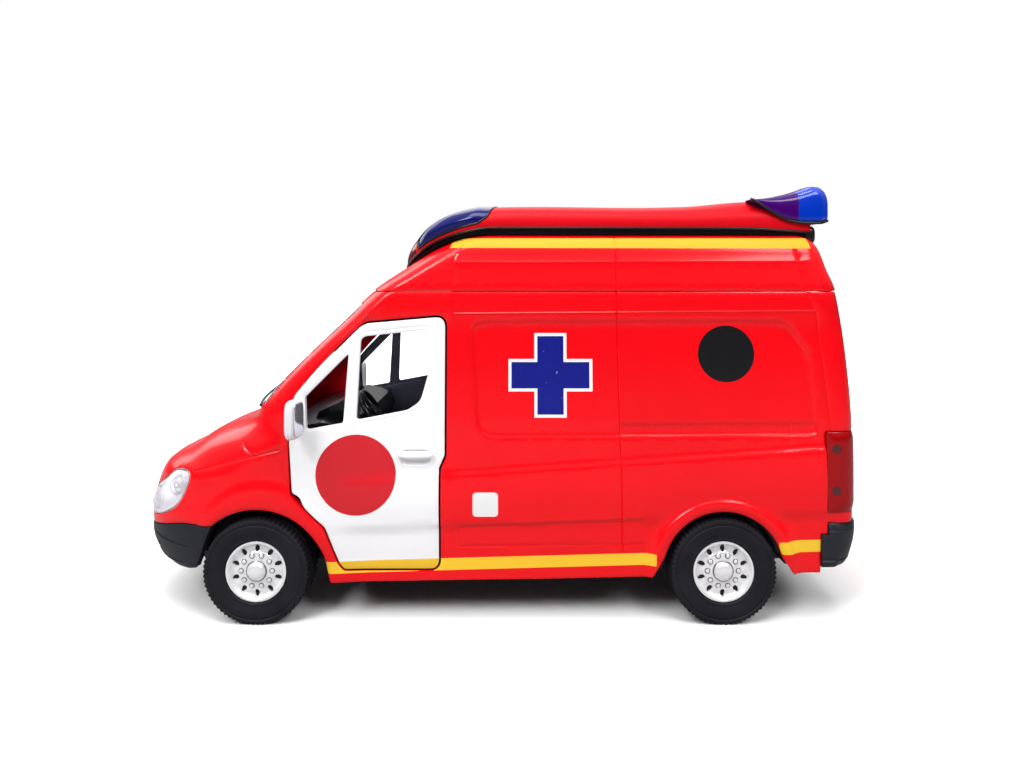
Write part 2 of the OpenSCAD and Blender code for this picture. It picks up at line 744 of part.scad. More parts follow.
body_shell();
high_roof();
windscreen();
grille();
headlight();  // left_headlight
right() headlight();  // right_headlight
tail_light();  // left_tail_light
right() tail_light();  // right_tail_light
front_bumper();
rear_bumper();
chassis();
pullback_motor();
interior_floor();
bulkhead();
dashboard();
steering_wheel();
driver_seat();
passenger_seat();
hinge_pins();
roof_fairing();
fairing_base();
front_beacon();  // left_front_beacon
right() front_beacon();  // right_front_beacon
rear_beacon();  // left_rear_beacon
right() rear_beacon();  // right_rear_beacon
cab_door();  // left_door
right() cab_door();  // right_door
door_card();  // left_door_card
right() door_card();  // right_door_card
door_mirror();  // left_mirror
right() door_mirror();  // right_mirror
rear_door();  // left_rear_door
right() rear_door();  // right_rear_door
rear_glass();  // left_rear_glass
right() rear_glass();  // right_rear_glass
axle(front_axle_x);  // front_axle
rim(front_axle_x);  // left_front_rim
right() rim(front_axle_x);  // right_front_rim
tyre(front_axle_x);  // left_front_tyre
right() tyre(front_axle_x);  // right_front_tyre
axle(rear_axle_x);  // rear_axle
rim(rear_axle_x);  // left_rear_rim
right() rim(rear_axle_x);  // right_rear_rim
tyre(rear_axle_x);  // left_rear_tyre
right() tyre(rear_axle_x);  // right_rear_tyre
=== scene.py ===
"""Looks of a toy ambulance van: modelled shells, paint, lenses, wheels and light around its frame.

Shapes are worked out in millimetres in the frame's axes (+X forward, +Y left, +Z up) and
turned into metres when a mesh is made. The body's skin is one surface, unrolled: t runs
along the side (t = x there), round the nose to the centreline and round the rear corner,
and v runs up it (v = height, except on top of the roof).
"""
import math

import bpy
import numpy as np
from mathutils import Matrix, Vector, geometry, kdtree


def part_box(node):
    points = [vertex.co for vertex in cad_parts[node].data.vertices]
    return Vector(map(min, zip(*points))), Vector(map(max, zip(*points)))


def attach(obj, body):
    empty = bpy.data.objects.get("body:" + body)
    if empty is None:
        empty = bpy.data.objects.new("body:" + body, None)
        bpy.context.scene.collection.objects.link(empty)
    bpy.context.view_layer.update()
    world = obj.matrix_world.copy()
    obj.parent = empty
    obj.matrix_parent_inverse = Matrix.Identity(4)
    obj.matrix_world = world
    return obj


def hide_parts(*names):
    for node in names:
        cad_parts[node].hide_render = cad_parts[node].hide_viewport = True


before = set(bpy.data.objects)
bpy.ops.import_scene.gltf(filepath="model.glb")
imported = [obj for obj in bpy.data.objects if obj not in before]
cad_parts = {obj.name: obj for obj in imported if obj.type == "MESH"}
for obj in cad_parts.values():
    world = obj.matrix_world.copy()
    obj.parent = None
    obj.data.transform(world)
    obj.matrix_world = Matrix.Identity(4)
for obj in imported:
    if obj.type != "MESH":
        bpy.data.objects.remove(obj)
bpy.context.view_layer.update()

MM = 0.001
LOW, HIGH = 0, 1


def corner(node, end):
    """Lowest or highest corner of a CAD node, in millimetres."""
    return np.array(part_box(node)[end]) / MM


def middle(node):
    return (corner(node, LOW) + corner(node, HIGH)) / 2


# ---- Places taken from the frame ----
NOSE = corner("front_bumper", HIGH)[0]
TAIL = corner("rear_bumper", LOW)[0]
HALF_W = corner("front_bumper", HIGH)[1]
FRONT_AXLE = middle("front_axle")[0]
REAR_AXLE = middle("rear_axle")[0]
AXLE_Z = middle("front_axle")[2]
TYRE_R = AXLE_Z
SEAM = 0.1  # between the body's top and the high roof
JOINT = corner("high_roof", LOW)[2] - SEAM
DOOR_X = corner("left_door", HIGH)[0]
REAR_DOOR_Y = corner("left_rear_door", HIGH)[1]
REAR_DOOR_LOW = corner("left_rear_door", LOW)[2]
REAR_DOOR_HIGH = corner("left_rear_door", HIGH)[2]
GAP = 0.42  # round the cab doors
WALL = 1.1


# ---- Curves and outlines in the plane ----
def curve(xs, ys):
    """A smooth curve through points that never swings past them."""
    xs, ys = np.array(xs, float), np.array(ys, float)
    h = np.diff(xs)
    d = np.diff(ys) / h
    m = np.zeros_like(ys)
    for i in range(1, len(xs) - 1):
        if d[i - 1] * d[i] > 0:
            w1, w2 = 2 * h[i] + h[i - 1], h[i] + 2 * h[i - 1]
            m[i] = (w1 + w2) / (w1 / d[i - 1] + w2 / d[i])
    m[0], m[-1] = d[0], d[-1]

    def at(x):
        x = np.clip(x, xs[0], xs[-1])
        i = np.clip(np.searchsorted(xs, x) - 1, 0, len(h) - 1)
        s = (x - xs[i]) / h[i]
        rise = h[i] * (m[i] * (s**3 - 2 * s**2 + s) + m[i + 1] * (s**3 - s**2))
        return ys[i] * (2 * s**3 - 3 * s**2 + 1) + ys[i + 1] * (3 * s**2 - 2 * s**3) + rise
    return at


def smooth(x):
    x = np.clip(x, 0, 1)
    return x * x * (3 - 2 * x)


def spread(points, step=0.7, closed=False):
    """The same outline with points no more than step apart."""
    points = np.array(points, float)
    if closed:
        points = np.vstack([points, points[:1]])
    out = []
    for a, b in zip(points[:-1], points[1:]):
        count = max(1, int(math.ceil(np.linalg.norm(b - a) / step)))
        out += [a + (b - a) * k / count for k in range(count)]
    if not closed:
        out.append(points[-1])
    return np.array(out)


def rounded(points, radius, step=0.7):
    """A closed outline with its corners rounded; a point may carry its own radius."""
    full = [(p[0], p[1], p[2] if len(p) > 2 else radius) for p in points]
    out = []
    for i, (x, y, r) in enumerate(full):
        p = np.array([x, y])
        before = np.array(full[i - 1][:2]) - p
        after = np.array(full[(i + 1) % len(full)][:2]) - p
        la, lb = np.linalg.norm(before), np.linalg.norm(after)
        before, after = before / la, after / lb
        angle = math.acos(np.clip(before @ after, -1, 1))
        if r <= 0 or angle > 3.1:
            out.append(p)
            continue
        reach = min(r / math.tan(angle / 2), 0.49 * la, 0.49 * lb)
        a, b = p + before * reach, p + after * reach
        for k in range(7):
            s = k / 6
            bend = p * (2 * s * (1 - s)) + a * (1 - s) ** 2 + b * s ** 2
            out.append(bend)
    return spread(out, step, closed=True)


def circle(x, y, r, count=48):
    a = np.linspace(0, 2 * math.pi, count, endpoint=False)
    return np.stack([x + r * np.cos(a), y + r * np.sin(a)], 1)


def arc(x, y, r, start, end, count=40):
    a = np.radians(np.linspace(start, end, count))
    return np.stack([x + r * np.cos(a), y + r * np.sin(a)], 1)


def loop(points, steps):
    """A closed smooth curve through points."""
    points = np.array(points, float)
    q = (np.arange(steps) / steps)[:, None]
    out = []
    for a, b, c, d in zip(*(np.roll(points, k, 0) for k in (1, 0, -1, -2))):
        out.append(0.5 * (2 * b + (c - a) * q + (2 * a - 5 * b + 4 * c - d) * q ** 2
                          + (3 * b - a - 3 * c + d) * q ** 3))
    return np.vstack(out)


def area(points):
    x, y = points[:, 0], points[:, 1]
    return 0.5 * np.sum(x * np.roll(y, -1) - y * np.roll(x, -1))


def offset(points, by):
    """A dense closed outline drawn inwards by a small distance, or outwards if by is negative."""
    if area(points) < 0:
        points = points[::-1]
    along = np.roll(points, -1, 0) - points
    along /= np.linalg.norm(along, axis=1)[:, None] + 1e-12
    left = np.stack([-along[:, 1], along[:, 0]], 1)
    mean = left + np.roll(left, 1, 0)
    mean /= np.linalg.norm(mean, axis=1)[:, None] + 1e-12
    cosine = np.clip(np.sum(mean * left, 1), 0.6, 1)
    return points + mean * (by / cosine)[:, None]


def beside(line, by):
    """An open line moved sideways."""
    along = np.gradient(line, axis=0)
    along /= np.linalg.norm(along, axis=1)[:, None]
    return line + by * np.stack([-along[:, 1], along[:, 0]], 1)


def inside(outline, points):
    hit = np.zeros(len(points), bool)
    x, y = points[:, 0], points[:, 1]
    for a, b in zip(outline, np.roll(outline, -1, 0)):
        if a[1] == b[1]:
            continue
        crosses = (a[1] > y) != (b[1] > y)
        hit ^= crosses & (x < (b[0] - a[0]) * (y - a[1]) / (b[1] - a[1]) + a[0])
    return hit


def distance(line, points, closed=False):
    """Distance from each point to a line of straight pieces."""
    ends = np.roll(line, -1, 0) if closed else line[1:]
    starts = line if closed else line[:-1]
    best = np.full(len(points), 1e9)
    for a, b in zip(starts, ends):
        d = b - a
        s = np.clip(((points - a) @ d) / (d @ d + 1e-12), 0, 1)
        best = np.minimum(best, np.linalg.norm(points - a - s[:, None] * d, axis=1))
    return best


# ---- Sheets: flat regions cut into triangles, then laid on a surface ----
class Groove:
    """A V-shaped line cut into a skin, or raised from it if depth is negative."""

    def __init__(self, points, width=0.4, depth=0.16):
        self.line = spread(points, 0.8)
        self.width = width
        self.depth = depth

    def chains(self):
        half = self.width / 2
        return [(self.line, False)] + [(beside(self.line, by), False) for by in (half, -half)]

    def height(self, flat):
        reach = 1 - distance(self.line, flat) / (self.width / 2)
        return -self.depth * np.clip(reach, 0, 1)


class Panel:
    """An area pressed in by depth, with a sloping edge of the given width."""

    def __init__(self, outline, width=0.7, depth=0.25):
        self.outline = outline
        self.width = width
        self.depth = depth

    def chains(self):
        return [(self.outline, True), (offset(self.outline, self.width / 2), True),
                (offset(self.outline, self.width), True)]

    def height(self, flat):
        depth = np.where(inside(self.outline, flat), distance(self.outline, flat, True), 0)
        return -self.depth * smooth(depth / self.width)

def chains_of(features):
    return [chain for feature in features for chain in feature.chains()]


ROW_SPACING = 0.87  # height of an even triangle over its side


def triangulate(outline, holes=(), chains=(), step=1.2, rows=None, edge=0.2):
    """Cuts a flat region into triangles, with the chains as edges and an even grid between."""
    outline = outline if area(outline) > 0 else outline[::-1]
    loops = [(outline, True)] + [(h, True) for h in holes] + list(chains)
    if edge:
        loops += [(offset(outline, edge), True)] + [(offset(h, -edge), True) for h in holes]
    points, edges = [], []
    for chain, closed in loops:
        first = len(points)
        points += [tuple(p) for p in chain]
        edges += [(first + k, first + k + 1) for k in range(len(chain) - 1)]
        if closed:
            edges.append((len(points) - 1, first))
    low, high = outline.min(0), outline.max(0)
    if rows is None:
        rows = np.arange(low[1] + step / 2, high[1], step * ROW_SPACING)
    grid = []
    for j, v in enumerate(rows):
        for t in np.arange(low[0] + step * (j % 2) / 2, high[0], step):
            grid.append((t, v))
    grid = np.array(grid)
    keep = inside(outline, grid)
    for h in holes:
        keep &= ~inside(h, grid)
    tree = kdtree.KDTree(len(points))
    for k, p in enumerate(points):
        tree.insert((p[0], p[1], 0), k)
    tree.balance()
    spaced = np.diff(rows).min() if len(rows) > 1 else step
    near = 0.5 * min(step, max(spaced, 0.5))
    grid = [g for g, k in zip(grid, keep) if k and tree.find((g[0], g[1], 0))[2] > near]
    points += [tuple(g) for g in grid]
    found = geometry.delaunay_2d_cdt([Vector(p) for p in points], edges, [], 0, 1e-4, False)
    flat = np.array([tuple(p) for p in found[0]])
    faces = np.array([f for f in found[2] if len(f) == 3])
    centres = flat[faces].mean(1)
    keep = inside(outline, centres)
    for h in holes:
        keep &= ~inside(h, centres)
    a, b, c = flat[faces[:, 0]], flat[faces[:, 1]], flat[faces[:, 2]]
    size = (b[:, 0] - a[:, 0]) * (c[:, 1] - a[:, 1]) - (b[:, 1] - a[:, 1]) * (c[:, 0] - a[:, 0])
    faces[size < 0] = faces[size < 0][:, ::-1]
    faces = faces[keep & (np.abs(size) > 1e-7)]
    used, faces = np.unique(faces, return_inverse=True)
    return flat[used], faces.reshape(-1, 3)


def open_edges(faces):
    """Edges that only one face has, in that face's direction."""
    pairs = np.vstack([faces[:, [0, 1]], faces[:, [1, 2]], faces[:, [2, 0]]])
    key = np.sort(pairs, 1)
    _, index, count = np.unique(key, axis=0, return_index=True, return_counts=True)
    return pairs[index[count == 1]]


def face_cross(points, faces):
    """Each face's normal, as long as twice its area."""
    a, b, c = (points[faces[:, k]] for k in range(3))
    return np.cross(b - a, c - a)


def normals(points, faces):
    total = np.zeros_like(points)
    for k in range(3):
        np.add.at(total, faces[:, k], face_cross(points, faces))
    return total / (np.linalg.norm(total, axis=1)[:, None] + 1e-15)


def placed(name, data):
    """A new object in the scene."""
    made = bpy.data.objects.new(name, data)
    bpy.context.scene.collection.objects.link(made)
    return made


def add_mesh(name, points, faces, materials, indices=None, sharp=32):
    """A shaded object from points in millimetres."""
    mesh = bpy.data.meshes.new(name)
    mesh.from_pydata((np.array(points) * MM).tolist(), [], [list(map(int, f)) for f in faces])
    for m in materials:
        mesh.materials.append(m)
    if indices is not None:
        mesh.polygons.foreach_set("material_index", np.array(indices, np.int32))
    mesh.polygons.foreach_set("use_smooth", np.ones(len(mesh.polygons), bool))
    mesh.validate()
    mesh.set_sharp_from_angle(angle=math.radians(sharp))
    return placed(name, mesh)


def finish_piece(piece, slot, *nodes, rides="van"):
    """Hangs a piece on the body it rides and hides the CAD nodes it stands in for; slot, its
    finish, is not used.
    """
    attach(piece, rides)
    if nodes:
        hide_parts(*nodes)


def shell(name, sheet, place, materials, slot, *nodes, rides="van", relief=(), extra=None,
          thick=WALL, paint=(), inner=0, side=0, chamfer=0.1, raise_by=0.0, sharp=32,
          facing=(0, 1, 0.3)):
    """A closed shell: a flat sheet laid on a surface, with relief and thickness.

    side is 1 or -1 for a piece on the left or right, or 0 for both halves joined on the
    centreline. paint lists (outline, material index); inner is the inside's material index.
    facing is roughly where a left-hand piece faces.
    """
    flat, faces = sheet
    base = np.stack(place(flat[:, 0], flat[:, 1]), 1)
    height = np.full(len(flat), float(raise_by))
    for feature in relief:
        height += feature.height(flat)
    if extra is not None:
        height += extra(flat, base)
    centres = flat[faces].mean(1)
    index = np.zeros(len(faces), int)
    for outline, number in paint:
        index[inside(outline, centres)] = number
    if np.mean(face_cross(base, faces) @ np.array(facing)) < 0:
        faces = faces[:, ::-1]
    if side < 0:
        base = base * [1, -1, 1]
        faces = faces[:, ::-1]
    if side == 0:
        centre = np.abs(base[:, 1]) < 1e-4
        base[centre, 1] = 0
        other = np.arange(len(base)) + len(base)
        other[centre] = np.arange(len(base))[centre]
        base = np.vstack([base, base * [1, -1, 1]])
        height = np.concatenate([height, height])
        faces = np.vstack([faces, other[faces][:, ::-1]])
        index = np.concatenate([index, index])
        used, faces = np.unique(faces, return_inverse=True)
        faces = faces.reshape(-1, 3)
        base, height = base[used], height[used]
    normal = normals(base, faces)
    rim = open_edges(faces)
    height[np.unique(rim)] -= chamfer
    outer = base + normal * height[:, None]
    under = base - normal * thick
    count = len(base)
    walls = [(a + count, b + count, b, a) for a, b in rim]
    all_faces = faces.tolist() + (faces[:, ::-1] + count).tolist() + walls
    indices = np.concatenate([index, np.full(len(faces), inner), np.zeros(len(walls), int)])
    made = add_mesh(name, np.vstack([outer, under]), all_faces, materials, indices, sharp)
    finish_piece(made, slot, *nodes, rides=rides)


# ---- Solids made of rings ----
FORWARD, BACKWARD = (0, 1, 2, 3), (3, 2, 1, 0)
CROSSWISE, CROSSWISE_BACK = (0, 3, 2, 1), (1, 2, 3, 0)


def ring_faces(rows, cols, closed=False, order=FORWARD):
    """Quads between rows of points, where each row is a ring.

    closed joins the last row to the first. order is each quad's first corner and its turn.
    """
    faces = []
    for i in range(rows if closed else rows - 1):
        n = (i + 1) % rows
        for j in range(cols):
            k = (j + 1) % cols
            quad = (i * cols + j, i * cols + k, n * cols + k, n * cols + j)
            faces.append([quad[q] for q in order])
    return faces


def end_caps(rows, cols, flip=False):
    """The two faces that close a row of rings."""
    caps = [tuple(range(cols))[::-1], tuple(range((rows - 1) * cols, rows * cols))]
    return [cap[::-1] for cap in caps] if flip else caps


def turned(name, radius, across, centre, angles, material, order, closed=True, flip=False,
           sharp=35):
    """A mesh turned about a centre (x, z): a radius at each angle and ring point, and its y."""
    x = centre[0] + radius * np.cos(angles)[:, None]
    z = centre[1] + radius * np.sin(angles)[:, None]
    rows, cols = x.shape
    faces = ring_faces(rows, cols, closed, order)
    if not closed:
        faces += end_caps(rows, cols, flip)
    points = np.stack([x, across + 0 * x, z], 2).reshape(-1, 3)
    return add_mesh(name, points, faces, [material], sharp=sharp)


def revolve(name, profile, centre, side, material, slot, *nodes, rides="van", count=96):
    """A closed ring from (radius, y) pairs about an axle."""
    radius, across = np.array(profile, float).T[:, None]
    angles = np.linspace(0, 2 * math.pi, count, endpoint=False)
    made = turned(name, radius, side * across, centre, angles, material,
                  CROSSWISE if side > 0 else CROSSWISE_BACK)
    finish_piece(made, slot, *nodes, rides=rides)


def rounded_box(name, centre, half, power, material, slot, *nodes, rides="van", turn=0.0,
                rings=20):
    """A soft-edged box: a superellipsoid, turned about the vertical by an angle in radians."""
    def bend(c):
        return np.sign(c) * np.abs(c) ** (2 / power)

    up = np.linspace(-math.pi / 2, math.pi / 2, rings)[1:-1]
    around = np.linspace(-math.pi, math.pi, 2 * rings, endpoint=False)
    up, around = np.meshgrid(up, around, indexing="ij")
    x = bend(np.cos(up)) * bend(np.cos(around)) * half[0]
    y = bend(np.cos(up)) * bend(np.sin(around)) * half[1]
    z = bend(np.sin(up)) * half[2]
    points = np.vstack([np.stack([x, y, z], 2).reshape(-1, 3), [[0, 0, -half[2]], [0, 0, half[2]]]])
    c, s = math.cos(turn), math.sin(turn)
    points = points @ np.array([[c, s, 0], [-s, c, 0], [0, 0, 1]])
    rows, cols = up.shape
    bottom, top, last = len(points) - 2, len(points) - 1, (rows - 1) * cols
    faces = ring_faces(rows, cols)
    for j in range(cols):
        k = (j + 1) % cols
        faces += [(bottom, k, j), (top, last + j, last + k)]
    made = add_mesh(name, points + np.array(centre), faces, [material], sharp=60)
    finish_piece(made, slot, *nodes, rides=rides)


def bead(name, path, radius, sides=10, closed=False):
    """A round black bead along a path; radius may be one number or one for each point."""
    path = np.array(path, float)
    r = np.broadcast_to(radius, (len(path),))
    if closed:
        along = np.roll(path, -1, 0) - np.roll(path, 1, 0)
    else:
        along = np.gradient(path, axis=0)
    along /= np.linalg.norm(along, axis=1)[:, None]
    across = np.cross(along, [0.12, 0.3, 0.95])
    across /= np.linalg.norm(across, axis=1)[:, None]
    third = np.cross(along, across)
    a = np.linspace(0, 2 * math.pi, sides, endpoint=False)
    points = (path[:, None] + r[:, None, None] * (across[:, None] * np.cos(a)[None, :, None]
                                                  + third[:, None] * np.sin(a)[None, :, None]))
    faces = ring_faces(len(path), sides, closed)
    if not closed:
        faces += end_caps(len(path), sides)
    finish_piece(add_mesh(name, points.reshape(-1, 3), faces, [GLOSS_BLACK], sharp=50),
                 "black_plastic")


# ---- The body's surface ----
# Height along the skin, height, side inset, front on the centreline, length of the
# rounded front, rear face
PROFILE = [
    [7.0, 7.2, 1.0, NOSE - 7, 18, TAIL + 3.4],
    [8.6, 8.6, 0.5, NOSE - 5, 20, TAIL + 3.0],
    [11, 11, 0.4, NOSE - 2, 24, TAIL + 2.2],
    [15, 15, 0.1, NOSE - 0.2, 26, TAIL + 1.8],
    [19.4, 19.4, 0, NOSE - 0.02, 26, TAIL + 1.8],
    [24, 24, 0, NOSE - 1, 26, TAIL + 1.8],
    [28.6, 28.6, 0, NOSE - 3.3, 24, TAIL + 1.8],
    [30.6, 30.6, 0, NOSE - 7.4, 22, TAIL + 1.8],
    [34, 34, 0.1, NOSE - 12.9, 20, TAIL + 1.8],
    [36.7, 36.7, 0.2, NOSE - 19.8, 16, TAIL + 1.8],
    [38.3, 38.3, 0.2, NOSE - 22.6, 13, TAIL + 1.8],
    [42, 42, 0.4, FRONT_AXLE + 2.8, 10, TAIL + 1.9],
    [52.6, 52.6, 1.0, FRONT_AXLE - 7.6, 7, TAIL + 2.7],
    [59.4, 59.4, 1.5, FRONT_AXLE - 14.8, 7, TAIL + 3.5],
    [64.4, 64.4, 2.0, FRONT_AXLE - 20, 7, TAIL + 4.3],
    [69.8, 69.8, 2.7, FRONT_AXLE - 27.6, 8, TAIL + 6.1],
    [73.3, 73.26, 3.6, FRONT_AXLE - 32.8, 9, TAIL + 7.2],
    [75.6, 75.1, 5.1, FRONT_AXLE - 36, 10, TAIL + 8.3],
    [77.2, 75.75, 7, FRONT_AXLE - 38, 10, TAIL + 9.2],
    [83.6, 76.15, 13.4, FRONT_AXLE - 43, 10, TAIL + 12],
    [97.2, 76.2, 27, FRONT_AXLE - 50, 1, TAIL + 20]]
columns = list(zip(*PROFILE))
height_at, inset_at, front_at, deep_at, rear_at = (curve(columns[0], c) for c in columns[1:])
NOSE_POWER = 2.6
NOSE_SHARE = 0.845  # length round the nose over the sum of its two half-axes
CORNER = 4
sweep = np.linspace(0, math.pi / 2, 4001)
NOSE_X = np.sin(sweep) ** (2 / NOSE_POWER)
NOSE_Y = np.cos(sweep) ** (2 / NOSE_POWER)
NOSE_ARC = np.concatenate([[0], np.cumsum(np.hypot(np.diff(NOSE_X), np.diff(NOSE_Y)))])
NOSE_ARC /= NOSE_ARC[-1]


def width_at(v):
    return HALF_W - inset_at(v)


def nose_start(v):
    return front_at(v) - deep_at(v)


def nose_length(v):
    return NOSE_SHARE * (deep_at(v) + width_at(v))


def corner_at(v):
    return np.minimum(CORNER, 0.3 * width_at(v) + 0.01)


def round_corner(t, x, y, rear, c, w):
    """Turns a side round a corner of radius c and along the rear face; w is half the width."""
    turn = rear + c - t
    q = np.clip(turn / c, 0, math.pi / 2)
    x = np.where(turn > 0, rear + c - c * np.sin(q), x)
    y = np.where(turn > 0, w - c + c * np.cos(q), y)
    past = turn - c * math.pi / 2
    return x, np.maximum(np.where(past > 0, w - c - past, y), 0)


def corner_t(rear, c, w, y):
    """t of the rear face at a distance y from the centreline."""
    return rear + c - c * math.pi / 2 - (w - c - y)


def skin(t, v):
    """Point of the left half of the skin."""
    t, v = np.asarray(t, float), np.asarray(v, float)
    w, start, c = width_at(v), nose_start(v), corner_at(v)
    a = np.clip((t - start) / nose_length(v), 0, 1)
    ahead = t > start
    x = np.where(ahead, start + deep_at(v) * np.interp(a, NOSE_ARC, NOSE_X), t)
    y = np.where(ahead, w * np.interp(a, NOSE_ARC, NOSE_Y), w)
    return *round_corner(t, x, y, rear_at(v), c, w), height_at(v)


def nose_t(v):
    """t of the centreline in front."""
    return nose_start(v) + nose_length(v)


def by_x(x, v):
    """t on the side or the rounded front, by x."""
    start = nose_start(v)
    share = np.clip((x - start) / deep_at(v), 0, 1)
    return np.where(x > start, start + nose_length(v) * np.interp(share, NOSE_X, NOSE_ARC), x)


def by_y(y, v):
    """t on the rounded front, by y."""
    share = np.clip(y / width_at(v), 0, 1)
    return nose_start(v) + nose_length(v) * np.interp(-share, -NOSE_Y, NOSE_ARC)


def on_side(points):
    """Skin points for (x, z) pairs."""
    return [(float(by_x(x, z)), z) for x, z in points]


def on_front(points):
    """Skin points for (y, z) pairs."""
    return [(float(by_y(y, z)), z) for y, z in points]


def on_centre(zs, past=0):
    """Skin points on the centreline in front, or past it."""
    return [(float(nose_t(z)) + past, z) for z in zs]


def on_rear(y, zs):
    """Skin points on the rear face, y from the centreline."""
    return [(float(corner_t(rear_at(z), corner_at(z), width_at(z), y)), z) for z in zs]


# ---- Materials ----
DUST = (0.6, 0.6, 0.62, 1)


def feed(tree, node, inputs):
    """Sets a node's inputs, by name or number, to values or to other nodes' outputs."""
    for key, value in inputs.items():
        if isinstance(value, bpy.types.NodeSocket):
            tree.links.new(value, node.inputs[key])
        else:
            node.inputs[key].default_value = value


def add_node(tree, kind, inputs=None, **fields):
    node = tree.nodes.new("ShaderNode" + kind)
    for key, value in fields.items():
        setattr(node, key, value)
    feed(tree, node, inputs or {})
    return node


def map_range(tree, value, low, high, to_low=0.0, to_high=1.0):
    return add_node(tree, "MapRange", {"Value": value, "From Min": low, "From Max": high,
                                       "To Min": to_low, "To Max": to_high}).outputs["Result"]


def new_material(name):
    made = bpy.data.materials.new(name)
    made.use_nodes = True
    return made, made.node_tree, made.node_tree.nodes["Principled BSDF"]


def material(name, colour, rough=0.35, coat=0.0, metal=0.0, clear=0.0, vary=0.04, grain=900,
             bump=0.000004, coat_rough=0.04, rough_vary=0.06, speck=0.0, specular=0.3, ior=1.46):
    """A finish with its own grain: colour and roughness vary, and the surface is faintly uneven."""
    made, tree, shader = new_material(name)
    place = add_node(tree, "TexCoord").outputs["Object"]

    def noise(scale, detail):
        return add_node(tree, "TexNoise", {"Scale": scale, "Detail": detail,
                                           "Vector": place}).outputs["Fac"]

    fine, wide = noise(grain, 4), noise(grain / 18, 3)
    ramp = add_node(tree, "ValToRGB", {"Fac": wide})
    ends = zip(ramp.color_ramp.elements, (0.35, 0.65), (1 - vary, 1 + vary))
    for element, position, shade in ends:
        element.position = position
        element.color = (*(min(1, c * shade) for c in colour), 1)
    tone = ramp.outputs["Color"]
    if speck:
        dust = map_range(tree, noise(grain * 1.4, 1), 0.74, 0.8, 0.0, speck)
        tone = add_node(tree, "Mix", {0: dust, 6: tone, 7: DUST}, data_type="RGBA").outputs[2]
    roughness = map_range(tree, fine, 0.0, 1.0, max(0.01, rough - rough_vary),
                          min(1, rough + rough_vary))
    uneven = add_node(tree, "Bump", {"Strength": 0.5, "Distance": bump, "Height": fine})
    feed(tree, shader, {"Base Color": tone, "Roughness": roughness,
                        "Normal": uneven.outputs["Normal"], "Metallic": metal,
                        "Coat Weight": coat, "Coat Roughness": coat_rough,
                        "Specular IOR Level": specular, "Transmission Weight": clear})
    if clear:
        shader.inputs["IOR"].default_value = ior
    return made


RED = material("red_enamel", (0.86, 0.001, 0.006), 0.30, coat=0.5, coat_rough=0.15, vary=0.03,
               specular=0.1)
WHITE = material("white_enamel", (0.91, 0.91, 0.93), 0.3, coat=0.3, vary=0.015)
YELLOW = material("yellow_print", (0.92, 0.56, 0.025), 0.36, coat=0.2, vary=0.03)
# The side stripes' yellow print, made darker for the roof stripe: painted shade against the
# stronger light that falls on the roof.
ROOF_YELLOW_PAINTED_SHADE = material("roof_yellow_print_painted_shade", (0.74, 0.42, 0.03), 0.45, vary=0.03, specular=0.1)
BLUE_PRINT = material("blue_print", (0.003, 0.008, 0.22), 0.36, coat=0.15, vary=0.06, speck=0.4)
WHITE_PRINT = material("white_print", (0.85, 0.85, 0.86), 0.4, coat=0.4, vary=0.02)
BLACK_PRINT = material("black_print", (0.005, 0.005, 0.007), 0.32, coat=0.2, vary=0.1)
DISC_RED = material("dark_red_print", (0.62, 0.010, 0.020), 0.36, coat=0.2, vary=0.03)
RED_PLASTIC = material("red_moulding", (0.66, 0.001, 0.008), 0.42, vary=0.03, specular=0.12)
WHITE_PLASTIC = material("white_moulding", (0.80, 0.80, 0.84), 0.36, coat=0.2, vary=0.02)
BLACK = material("black_moulding", (0.016, 0.017, 0.024), 0.42, vary=0.12, specular=0.25,
                 grain=2600, bump=0.00001)
GLOSS_BLACK = material("gloss_black", (0.006, 0.006, 0.008), 0.24, coat=0.15, vary=0.12)
TRIM = material("trim_moulding", (0.070, 0.065, 0.095), 0.5, vary=0.1, grain=2600, bump=0.000012)
FLOOR_PLASTIC = material("floor_moulding", (0.045, 0.045, 0.052), 0.55, vary=0.1, grain=2200,
                         bump=0.00001)
MOTOR = material("motor_case", (0.10, 0.10, 0.11), 0.5, vary=0.08, grain=1600)
GREY = material("grey_moulding", (0.42, 0.42, 0.45), 0.5, vary=0.05, grain=1800)
RUBBER = material("tyre_rubber", (0.010, 0.010, 0.014), 0.62, vary=0.2, specular=0.2, grain=3000,
                  bump=0.00002)
CHROME = material("vacuum_chrome", (0.93, 0.93, 0.95), 0.14, metal=0.42, vary=0.03, grain=700,
                  bump=0.000012, rough_vary=0.05)
# Grey for rings on the clear headlight lens: painted shade at the rims of the reflector bowls and
# round the bulbs.
LAMP_PAINTED_SHADE = material("lamp_lens_painted_shade", (0.50, 0.46, 0.53), 0.12, clear=0.1, coat=0.2, vary=0.1)
# Darker chrome for painted shade: rings round the wheel hubs and bolts, and the rims of the
# headlight reflector bowls.
PAINTED_SHADE_CHROME = material("chrome_painted_shade", (0.20, 0.20, 0.23), 0.3, metal=0.6, vary=0.1)
REFLECTOR = material("lamp_reflector", (0.88, 0.86, 0.90), 0.2, metal=0.5, vary=0.02, grain=700,
                     rough_vary=0.05)
SILVER = material("mirror_silver", (0.70, 0.73, 0.80), 0.14, metal=0.8, vary=0.03, rough_vary=0.04)
STEEL = material("bright_steel", (0.55, 0.55, 0.56), 0.28, metal=1.0, vary=0.05)
GLASS = material("tinted_window", (0.62, 0.70, 0.74), 0.05, clear=0.85, vary=0.01,
                 rough_vary=0.02, ior=1.06)
LAMP = material("lamp_lens", (0.97, 0.96, 0.98), 0.06, clear=0.94, coat=0.2, vary=0.02,
                rough_vary=0.03)
TAIL_RED = material("tail_lens", (0.34, 0.001, 0.003), 0.14, clear=0.1, coat=0.12, specular=0.2,
                    vary=0.05, rough_vary=0.04)
